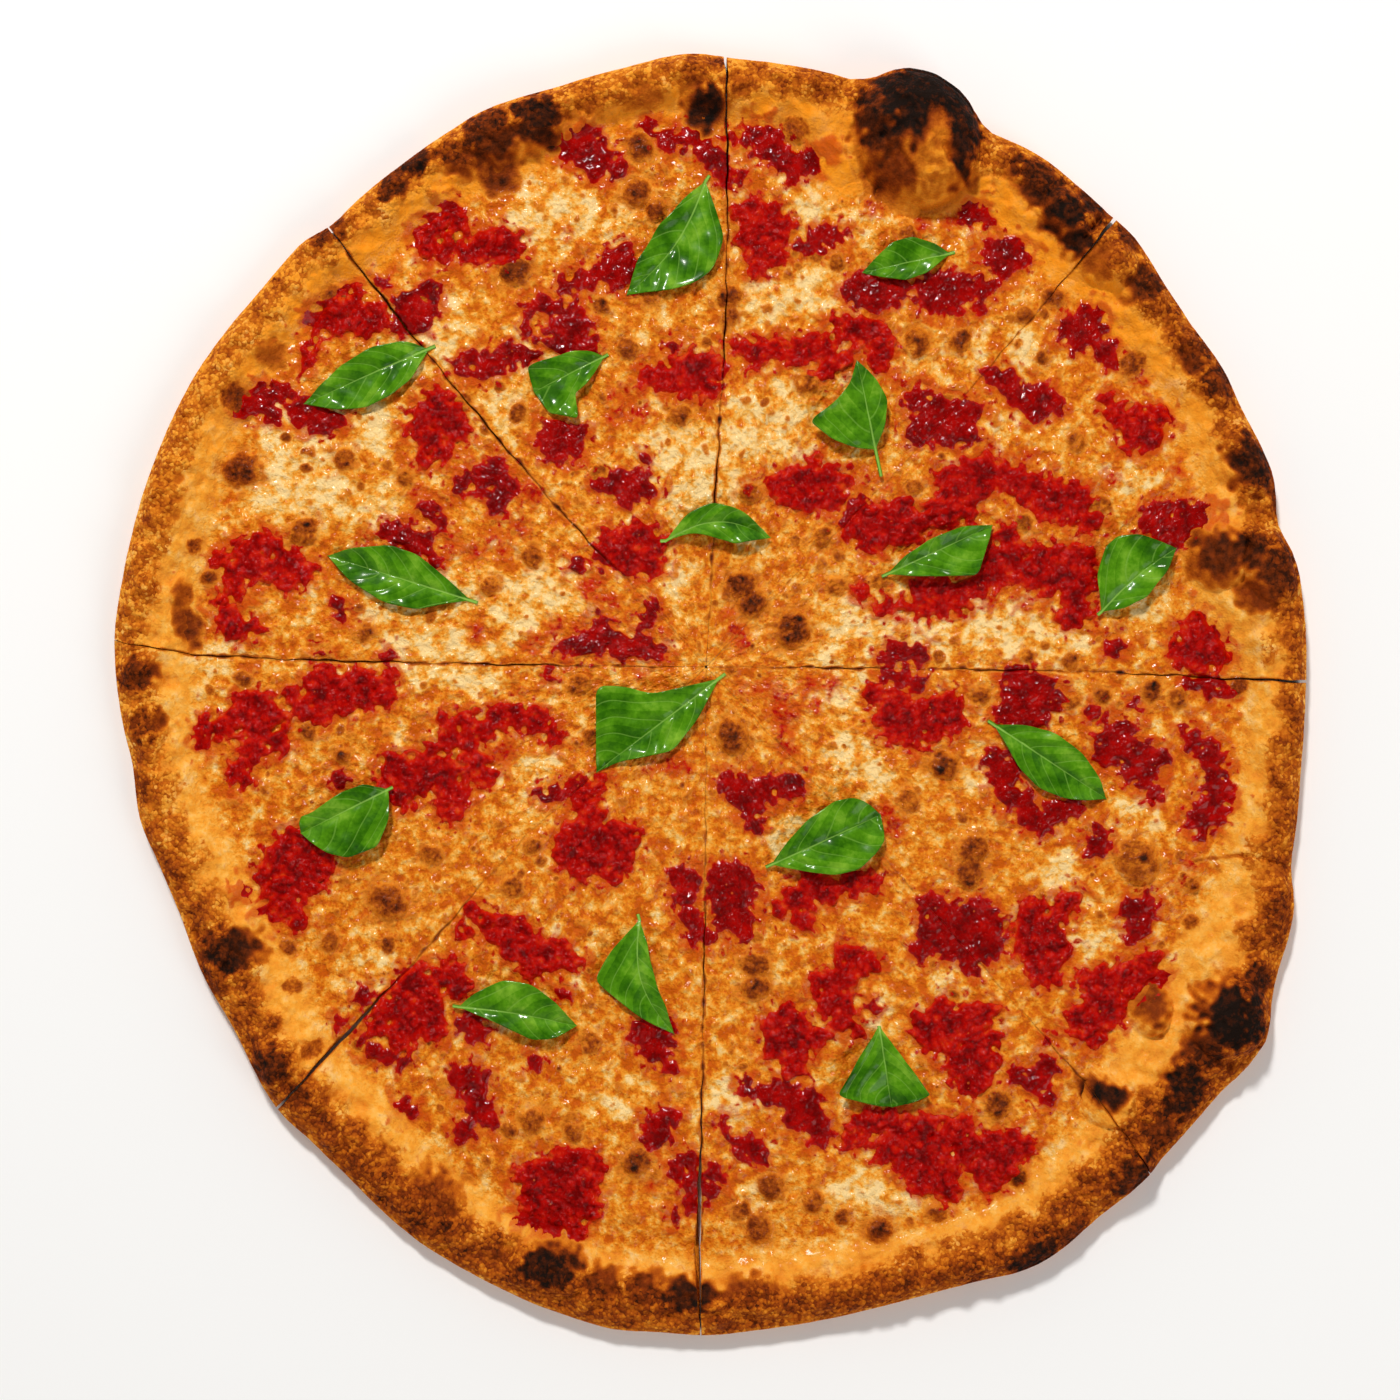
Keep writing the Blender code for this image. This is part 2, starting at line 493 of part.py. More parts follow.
def sauce_mesh(index, strokes):
    """A dollop: the part of a grid inside its outline, drawn up from just above the cheese."""
    spacing = math.sqrt(sauce_area(strokes) / SAUCE_CELLS)
    low_x = min(min(s[0], s[2]) - s[4] for s in strokes)
    high_x = max(max(s[0], s[2]) + s[4] for s in strokes)
    low_y = min(min(s[1], s[3]) - s[4] for s in strokes)
    high_y = max(max(s[1], s[3]) + s[4] for s in strokes)
    count_x = round((high_x - low_x) / spacing)
    count_y = round((high_y - low_y) / spacing)
    body = bmesh.new()
    bmesh.ops.create_grid(body, x_segments=count_x, y_segments=count_y, size=1.0)
    for vertex in body.verts:
        vertex.co.x = low_x + (vertex.co.x + 1.0) / 2.0 * (high_x - low_x)
        vertex.co.y = low_y + (vertex.co.y + 1.0) / 2.0 * (high_y - low_y)

    def depth(x, y):
        return sauce_depth(index, strokes, x, y)

    depths = {vertex: depth(vertex.co.x, vertex.co.y) for vertex in body.verts}
    outside = [face for face in body.faces
               if sum(depths[vertex] for vertex in face.verts) < 0.0
               or min(depths[vertex] for vertex in face.verts) < -EDGE_OVERHANG * spacing]
    bmesh.ops.delete(body, geom=outside, context="FACES")
    drop_corner_faces(body)
    keep_largest_patch(body)
    for vertex in body.verts:
        if not vertex.is_boundary:
            continue
        for _ in range(EDGE_MOVES):
            x, y = vertex.co.x, vertex.co.y
            here = min(0.0, depth(x, y)) + EDGE_SLACK * max(0.0, depth(x, y))
            slope_x = (depth(x + PROBE, y) - depth(x - PROBE, y)) / (2 * PROBE)
            slope_y = (depth(x, y + PROBE) - depth(x, y - PROBE)) / (2 * PROBE)
            steep = max(LEAST_SLOPE, slope_x ** 2 + slope_y ** 2)
            move = max(-EDGE_INWARD * spacing, min(EDGE_OUTWARD * spacing, here))
            vertex.co.x -= move * slope_x / steep
            vertex.co.y -= move * slope_y / steep
    for vertex in body.verts:
        vertex.co.z = cheese_top(vertex.co.x, vertex.co.y) + SAUCE_GAP
    bottom_faces = list(body.faces)
    raised = bmesh.ops.extrude_face_region(body, geom=bottom_faces, use_keep_orig=True)
    for vertex in (item for item in raised["geom"] if isinstance(item, bmesh.types.BMVert)):
        x, y = vertex.co.x, vertex.co.y
        lumps = 0.5 + 0.5 * math.sin(x / LUMP_X + LUMP_START_X) * math.sin(y / LUMP_Y + LUMP_START_Y)
        swell = min(1.0, max(0.0, depth(x, y)) / SAUCE_RAMP)
        fullness = swell * (1.0 - LUMP_SHARE + LUMP_SHARE * lumps)
        vertex.co.z += SAUCE_EDGE + (SAUCE_HEIGHT - SAUCE_EDGE) * fullness
    bmesh.ops.scale(body, vec=(MM, MM, MM), verts=body.verts)
    bmesh.ops.triangulate(body, faces=body.faces)
    bmesh.ops.recalc_face_normals(body, faces=body.faces)
    return body


def leaf_place(leaf, share, side):
    """A point in plan on a leaf, from its stem to its tip and from the right side to the left."""
    stem_x, stem_y = leaf["stem"]
    tip_x, tip_y = leaf["tip"]
    length = math.hypot(tip_x - stem_x, tip_y - stem_y)
    along_x, along_y = (tip_x - stem_x) / length, (tip_y - stem_y) / length
    edge = leaf["left"] if side > 0 else leaf["right"]
    width = along(((0.0, 0.0), *edge, (1.0, 0.0)), share)
    offset = leaf["bow"] * math.sin(math.pi * share) + side * width
    return (stem_x + along_x * length * share - along_y * offset,
            stem_y + along_y * length * share + along_x * offset)


def sauce_top(x, y):
    """The height that a leaf has to clear at a point."""
    height = cheese_top(x, y)
    for _, strokes in SAUCE:
        if stroke_depth(strokes, x, y) > -NEAR_SAUCE:
            height = max(height, cheese_top(x, y) + SAUCE_GAP + SAUCE_HEIGHT)
    return height


def leaf_mesh(leaf, number):
    """A leaf: a wavy grid from stem to tip, which gets its thickness from a modifier later."""
    body = bmesh.new()
    bmesh.ops.create_grid(body, x_segments=LEAF_STEPS, y_segments=LEAF_ACROSS, size=1.0)
    places = {}
    rest = 0.0
    for vertex in body.verts:
        share = LEAF_START + (LEAF_END - LEAF_START) * (vertex.co.x + 1.0) / 2.0
        side = vertex.co.y
        x, y = leaf_place(leaf, share, side)
        places[vertex] = (x, y, share, side)
        rest = max(rest, sauce_top(x, y))
    for vertex, (x, y, share, side) in places.items():
        wave = 0.5 + 0.5 * math.sin(WAVES_LENGTHWISE * share + number) * math.cos(WAVES_ACROSS * side + number)
        lift = LEAF_WAVE * wave + LEAF_CUP * side * side
        vertex.co = (x * MM, y * MM, (rest + LEAF_CLEARANCE + LEAF_THICKNESS / 2 + lift) * MM)
    bmesh.ops.triangulate(body, faces=body.faces)
    bmesh.ops.recalc_face_normals(body, faces=body.faces)
    return body


def add_piece(name, body, finish, collection):
    """Put a mesh in the scene, measured from the middle of the whole outline, with its own material."""
    bmesh.ops.translate(body, vec=(CUTS_MEET_X * MM, CUTS_MEET_Y * MM, 0.0), verts=body.verts)
    mesh = bpy.data.meshes.new(name)
    body.to_mesh(mesh)
    body.free()
    mesh.shade_smooth()
    mesh.set_sharp_from_angle(angle=math.radians(CREASE))
    mesh.materials.append(make_material(name, finish))
    piece = bpy.data.objects.new(name, mesh)
    collection.objects.link(piece)
    return piece


def build():
    """Build every slice, dollop and leaf."""
    clear_scene()
    collection = bpy.data.collections.new(OBJECT_NAME)
    bpy.context.scene.collection.children.link(collection)
    for index in range(len(CUTS)):
        name = f"slice_{index + 1}"
        crust = swept_mesh(index, crust_section(), SLICE_STEPS, crust_point)
        add_piece(f"{name}_crust", crust, CRUST_FINISH, collection)
        cheese = swept_mesh(index, cheese_section(), SLICE_STEPS, cheese_point)
        add_piece(f"{name}_cheese", cheese, CHEESE_FINISH, collection)
    for number, (slice_number, strokes) in enumerate(SAUCE, start=1):
        dollop = sauce_mesh(slice_number - 1, strokes)
        add_piece(f"sauce_{number:02d}", dollop, SAUCE_FINISH, collection)
    for number, leaf in enumerate(LEAVES, start=1):
        piece = add_piece(f"basil_{number:02d}", leaf_mesh(leaf, number), BASIL_FINISH, collection)
        thicken = piece.modifiers.new("Thickness", "SOLIDIFY")
        thicken.thickness = LEAF_THICKNESS * MM
        thicken.offset = 0.0


build()
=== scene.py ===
# %% [markdown]
# # A large pizza, cut into eight
#
# The real thing is a thin, stretched round of dough with a puffed and partly burnt rim, melted
# cheese, spoonfuls of crushed tomato and fresh basil leaves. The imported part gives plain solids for
# all of it. This lesson dresses them: each crust, each layer of cheese, each large dollop of sauce
# and each leaf gets a finely shaped piece of its own in the same place.

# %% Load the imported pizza
import math

import bpy
import numpy as np
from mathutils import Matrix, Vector


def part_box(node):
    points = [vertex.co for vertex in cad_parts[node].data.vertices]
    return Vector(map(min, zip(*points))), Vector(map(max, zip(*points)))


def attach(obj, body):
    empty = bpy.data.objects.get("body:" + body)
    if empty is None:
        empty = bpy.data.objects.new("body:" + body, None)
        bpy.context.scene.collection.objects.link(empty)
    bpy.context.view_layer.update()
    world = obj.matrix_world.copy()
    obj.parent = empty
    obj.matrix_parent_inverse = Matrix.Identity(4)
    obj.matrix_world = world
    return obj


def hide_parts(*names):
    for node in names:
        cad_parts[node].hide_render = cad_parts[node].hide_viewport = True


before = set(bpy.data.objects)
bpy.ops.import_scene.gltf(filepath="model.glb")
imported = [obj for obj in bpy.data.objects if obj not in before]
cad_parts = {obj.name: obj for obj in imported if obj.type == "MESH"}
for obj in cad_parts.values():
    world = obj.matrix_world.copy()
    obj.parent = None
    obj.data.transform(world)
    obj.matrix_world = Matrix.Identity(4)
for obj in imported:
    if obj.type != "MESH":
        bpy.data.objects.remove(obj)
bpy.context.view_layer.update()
print("the packed pizza has", len(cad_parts), "nodes")

# %% [markdown]
# ## A map to work on
#
# Cheese and sauce run over the whole pizza and only then is it cut. So the shape is worked out once,
# on a map of the whole round seen from above, as a height and a few finishes for every place. The
# map is a grid with a reading every 0.4 mm, measured from where the cuts meet. Every piece is then
# shaped by reading the map at its own corners, which makes neighbours agree along each cut.

# %% Lay out the map
MM = 0.001
CUTS_MEET = (-1.4, 9.65)
CELL = 0.4
MAP_LEFT, MAP_BOTTOM = -216.0, -240.0
MAP_COLUMNS, MAP_ROWS = 1080, 1176

east = MAP_LEFT + CELL * np.arange(MAP_COLUMNS)
north = MAP_BOTTOM + CELL * np.arange(MAP_ROWS)
X, Y = np.meshgrid(east, north)
DISTANCE = np.hypot(X, Y)
ANGLE = np.degrees(np.arctan2(Y, X)) % 360.0
print("the map is", round(MAP_COLUMNS * CELL), "by", round(MAP_ROWS * CELL), "mm")


def read_map(field, x, y):
    """Read a map between its grid points, for arrays of places in mm."""
    column = np.clip((x - MAP_LEFT) / CELL, 0, MAP_COLUMNS - 1.001)
    row = np.clip((y - MAP_BOTTOM) / CELL, 0, MAP_ROWS - 1.001)
    left = column.astype(int)
    below = row.astype(int)
    across = column - left
    up = row - below
    low = field[below, left] * (1 - across) + field[below, left + 1] * across
    high = field[below + 1, left] * (1 - across) + field[below + 1, left + 1] * across
    return low * (1 - up) + high * up


def step(value, start, end):
    """Rise softly from 0 at start to 1 at end."""
    share = np.clip((value - start) / (end - start), 0.0, 1.0)
    return share * share * (3 - 2 * share)


# %% [markdown]
# ## Outline, rim and cuts
#
# A hand-stretched pizza isn't round. Its reach and the width of its rim change with the angle, so
# both are short lists of degrees and millimetres with soft bends between them. The eight cuts are
# rolled from edge to edge and wander a little, so each is an angle that changes with the distance.
# Hot cheese runs together again behind the wheel, so each cut also says how far from the middle it
# has melted shut. Up to there the gap is only 0.1 mm and its groove and browned edges are faint.

# %% Outline, rim and cuts
REACH = (
    (0, 207.6), (5, 207.9), (10, 207.4), (14, 203.3), (18, 207.1), (26, 205.5), (30, 206.6),
    (35, 205.2), (40, 206.6), (45, 210.2), (49, 209.8), (57, 211.4), (63, 209.0), (65, 216.4),
    (70, 219.7), (72.5, 216.5), (75, 209.4), (80, 210.0), (88, 210.6), (90, 212.2), (93, 212.0),
    (97, 209.3), (105, 206.9), (112, 207.4), (118, 204.5), (122, 202.9), (127, 201.6),
    (130.4, 199.6), (133, 202.8), (140, 201.7), (150, 203.6), (160, 203.6), (170, 204.1),
    (177, 205.2), (180, 204.6), (185, 203.1), (190, 201.0), (195, 203.2), (200, 201.0), (205, 201.0),
    (212, 204.4), (217, 205.4), (222, 209.5), (226, 213.5), (230, 213.3), (235, 215.3), (239, 219.0),
    (244, 222.8), (250, 225.6), (255, 228.4), (259, 230.1), (262, 231.8), (266, 230.6), (270, 231.6),
    (275, 230.1), (285, 229.2), (290, 230.1), (294, 232.2), (298, 236.4), (301, 236.4), (305, 233.8),
    (310, 233.6), (314, 231.4), (320, 230.8), (325, 233.8), (327, 232.0), (329, 228.2), (331, 224.9),
    (335, 222.4), (338, 220.2), (341, 213.6), (344, 212.0), (350, 208.8), (355, 207.6),
)
RIM_WIDTH = (
    (0, 23), (9, 39), (20, 25), (30, 22), (40, 26), (50, 30), (60, 27), (66, 43), (75, 43), (80, 24),
    (90, 20), (100, 18), (110, 25), (120, 21), (140, 20), (150, 21), (160, 25), (170, 27), (180, 29),
    (190, 23), (200, 26), (215, 30), (235, 30), (250, 26), (265, 27), (280, 26), (290, 22), (300, 27),
    (310, 29), (316, 39), (325, 44), (331, 37), (340, 26), (350, 21),
)
CUTS = (
    {"path": ((0, -0.3), (133, -0.7), (181, -1.3), (208, -1.4)),
     "half_gap": ((0, 0.35), (165, 0.35), (185, 0.7)),
     "melted_to": 20},
    {"path": ((0, 46.0), (100, 45.8), (145, 46.7), (190, 47.3), (209, 47.6)),
     "half_gap": ((0, 0.35), (185, 0.4), (209, 0.9)),
     "melted_to": 150},
    {"path": ((0, 86.0), (58, 86.9), (113, 86.7), (150, 87.2), (212, 88.2)),
     "half_gap": ((0, 0.35), (170, 0.45), (212, 0.8)),
     "melted_to": 30},
    {"path": ((0, 130.5), (59, 133.2), (104, 132.4), (199, 130.7)),
     "half_gap": ((0, 0.35), (100, 0.45), (199, 0.6)),
     "melted_to": 50},
    {"path": ((0, 179.6), (90, 179.2), (140, 179.0), (178, 178.6), (205, 177.4)),
     "half_gap": ((0, 0.35), (160, 0.5), (205, 0.45)),
     "melted_to": 20},
    {"path": ((0, 224.5), (85, 223.2), (135, 225.2), (213, 225.9)),
     "half_gap": ((0, 0.35), (150, 0.4), (185, 1.0), (213, 0.7)),
     "melted_to": 120},
    {"path": ((0, 270.0), (115, 269.6), (207, 269.2), (231, 269.6)),
     "half_gap": ((0, 0.35), (165, 0.4), (180, 1.0), (195, 1.3), (215, 1.1), (226, 0.5)),
     "melted_to": 60},
    {"path": ((0, 313.5), (200, 312.3), (232, 311.3)),
     "half_gap": ((0, 0.35), (232, 0.45)),
     "melted_to": 180},
)
BEND = 1.2
CLOSING = 20.0
TIP_GAP = 0.13
SHUT_GAP = 0.05
DRAG_START, DRAG_FULL = 4.0, 25.0
WIDEST_TURN = 60.0
FAR_FROM_CUT = 50.0


def along(pairs, place):
    """The value at a place from (place, value) pairs."""
    return np.interp(place, [pair[0] for pair in pairs], [pair[1] for pair in pairs])


def around(pairs, angle):
    """The value at an angle from (degrees, mm) pairs, with its corners eased."""
    degrees = [pair[0] for pair in pairs]
    sizes = [pair[1] for pair in pairs]
    total = sum(np.interp(angle + turn, degrees, sizes, period=360.0) for turn in (-BEND, 0.0, BEND))
    return total / 3.0


def rim_foot(angle):
    """Where the rim starts to rise, as a distance from where the cuts meet."""
    return around(REACH, angle) - around(RIM_WIDTH, angle)


def cut_line(cut, distance):
    """The angle of a cut at a distance from the middle. The wheel drags the cheese a little."""
    fine_drag = 0.16 * np.sin(distance / 1.7 + cut["path"][0][1])
    slow_drag = 0.2 * np.sin(distance / 4.1 + cut["path"][1][1])
    drag = (fine_drag + slow_drag) * step(distance, DRAG_START, DRAG_FULL)
    return along(cut["path"], distance) + np.degrees(drag / np.maximum(distance, DRAG_START))


def cut_open(cut, distance):
    """How far a cut is open at a distance: 0 where the cheese melted shut again, 1 where it gapes."""
    return step(distance, cut["melted_to"] - CLOSING, cut["melted_to"] + CLOSING)


def cut_angle(cut, distance, side, lean=0.0):
    """The angle of one side of a cut's gap at a distance from the middle, or a little nearer to it."""
    lean = lean * (1.0 + 0.4 * np.sin(distance / 9.0 + cut["path"][0][1]))
    gap = np.maximum(along(cut["half_gap"], distance) - lean, SHUT_GAP)
    if np.any(lean):
        gap = SHUT_GAP + (gap - SHUT_GAP) * cut_open(cut, distance)
    turn = np.degrees(np.arcsin(np.minimum(0.99, gap / np.maximum(distance, gap))))
    return cut_line(cut, distance) + side * turn


def slice_angle(index, share, distance, lean=0.0):
    """The angle at a share of the way across a slice."""
    first = cut_angle(CUTS[index], distance, 1, lean)
    second = cut_angle(CUTS[(index + 1) % len(CUTS)], distance, -1, lean)
    second = np.where(second < first, second + 360.0, second)
    return first + (second - first) * share


def slice_tip(index):
    """How far the tip of a slice stands from where the cuts meet, and in which direction."""
    first = CUTS[index]["path"][0][1]
    second = CUTS[(index + 1) % len(CUTS)]["path"][0][1]
    if second < first:
        second += 360.0
    half_angle = math.radians(second - first) / 2
    return TIP_GAP / math.sin(half_angle) + TIP_GAP, (first + second) / 2


REACH_THERE = around(REACH, ANGLE)
WIDTH_THERE = around(RIM_WIDTH, ANGLE)
FOOT_THERE = REACH_THERE - WIDTH_THERE
FROM_FOOT = DISTANCE - FOOT_THERE
FROM_EDGE = REACH_THERE - DISTANCE
CUT_AWAY = np.full(X.shape, FAR_FROM_CUT)
CUT_OPEN = np.ones(X.shape)
for cut in CUTS:
    turn = np.abs((ANGLE - cut_line(cut, DISTANCE) + 180.0) % 360.0 - 180.0)
    away = DISTANCE * np.sin(np.radians(np.minimum(turn, WIDEST_TURN))) - along(cut["half_gap"], DISTANCE)
    away = np.where(turn < WIDEST_TURN, away, FAR_FROM_CUT)
    CUT_OPEN = np.where(away < CUT_AWAY, cut_open(cut, DISTANCE), CUT_OPEN)
    CUT_AWAY = np.minimum(CUT_AWAY, away)
print("the rim is", RIM_WIDTH[0][1], "mm wide in the east and up to",
      max(width for _, width in RIM_WIDTH), "mm elsewhere")

# %% [markdown]
# ## Two kinds of roughness
#
# Food is never smooth, but its roughness has a size. Clouds are soft swells of one chosen size, made
# by filtering random numbers. Cobbles are rounded lumps packed side by side, like melted shreds of
# cheese or the pulp in crushed tomato, made from the nearest and second nearest of scattered points.

# %% Clouds and cobbles
SIZE_SPREAD = 0.45
LUMP_STEEPNESS = 3.5
SPARE_CELLS = 4
NO_POINT_YET = 9.0


def cloud(size, seed):
    """Soft random swells of about this size in mm, with an average of 0 and a spread of 1."""
    dots = np.random.default_rng(seed).standard_normal(X.shape)
    waves_north = np.fft.fftfreq(MAP_ROWS, CELL)[:, None]
    waves_east = np.fft.rfftfreq(MAP_COLUMNS, CELL)[None, :]
    pitch = np.hypot(waves_north, waves_east) * size
    keep = np.exp(-((pitch - 1.0) / SIZE_SPREAD) ** 2)
    swells = np.fft.irfft2(np.fft.rfft2(dots) * keep, s=X.shape)
    return (swells / swells.std()).astype(np.float32)


def cobbles(size, seed, wander=0.35):
    """Packed lumps of about this size in mm: their rounded height, and a random tone for each."""
    random = np.random.default_rng(seed)
    across = X + wander * size * cloud(2.0 * size, seed + 1) - MAP_LEFT + SPARE_CELLS * size
    upward = Y + wander * size * cloud(2.0 * size, seed + 2) - MAP_BOTTOM + SPARE_CELLS * size
    cells_east = int(MAP_COLUMNS * CELL / size) + 2 * SPARE_CELLS + 2
    cells_north = int(MAP_ROWS * CELL / size) + 2 * SPARE_CELLS + 2
    shift_east = random.random((cells_north, cells_east))
    shift_north = random.random((cells_north, cells_east))
    tones = random.random((cells_north, cells_east))
    column = (across / size).astype(int)
    row = (upward / size).astype(int)
    nearest = np.full(X.shape, NO_POINT_YET)
    second = np.full(X.shape, NO_POINT_YET)
    tone = np.zeros(X.shape)
    for row_step in (-1, 0, 1):
        for column_step in (-1, 0, 1):
            there_row = np.clip(row + row_step, 0, cells_north - 1)
            there_column = np.clip(column + column_step, 0, cells_east - 1)
            point_east = there_column + shift_east[there_row, there_column]
            point_north = there_row + shift_north[there_row, there_column]
            gap = np.hypot(across / size - point_east, upward / size - point_north)
            closer = gap < nearest
            second = np.where(closer, nearest, np.minimum(second, gap))
            nearest = np.where(closer, gap, nearest)
            tone = np.where(closer, tones[there_row, there_column], tone)
    lump = 1.0 - np.exp(-LUMP_STEEPNESS * (second - nearest))
    return lump.astype(np.float32), tone.astype(np.float32)


SHRED_SIZE, PULP_SIZE = 2.3, 3.0
shred_lumps, shred_tones = cobbles(SHRED_SIZE, 11)
pulp_lumps, _ = cobbles(PULP_SIZE, 21)
swell_2, swell_3, swell_4 = cloud(2.2, 31), cloud(3.0, 36), cloud(4.5, 32)
swell_6, swell_8, swell_12 = cloud(6.0, 37), cloud(8.5, 33), cloud(12.0, 38)
swell_16 = cloud(16.0, 34)
print("the shreds are", SHRED_SIZE, "mm lumps and the pulp is in", PULP_SIZE, "mm lumps")

# %% [markdown]
# ## Where the sauce is
#
# The tomato was spooned on in rings, so it lies in ragged ribbons. Each dollop is read off as a few
# round blobs that run together. The blobs are added up so that they melt into one outline, and a
# little of the swells then frays that outline. The large dollops are pieces of their own, and the
# small ones have sunk into the cheese, so they only raise and stain it.

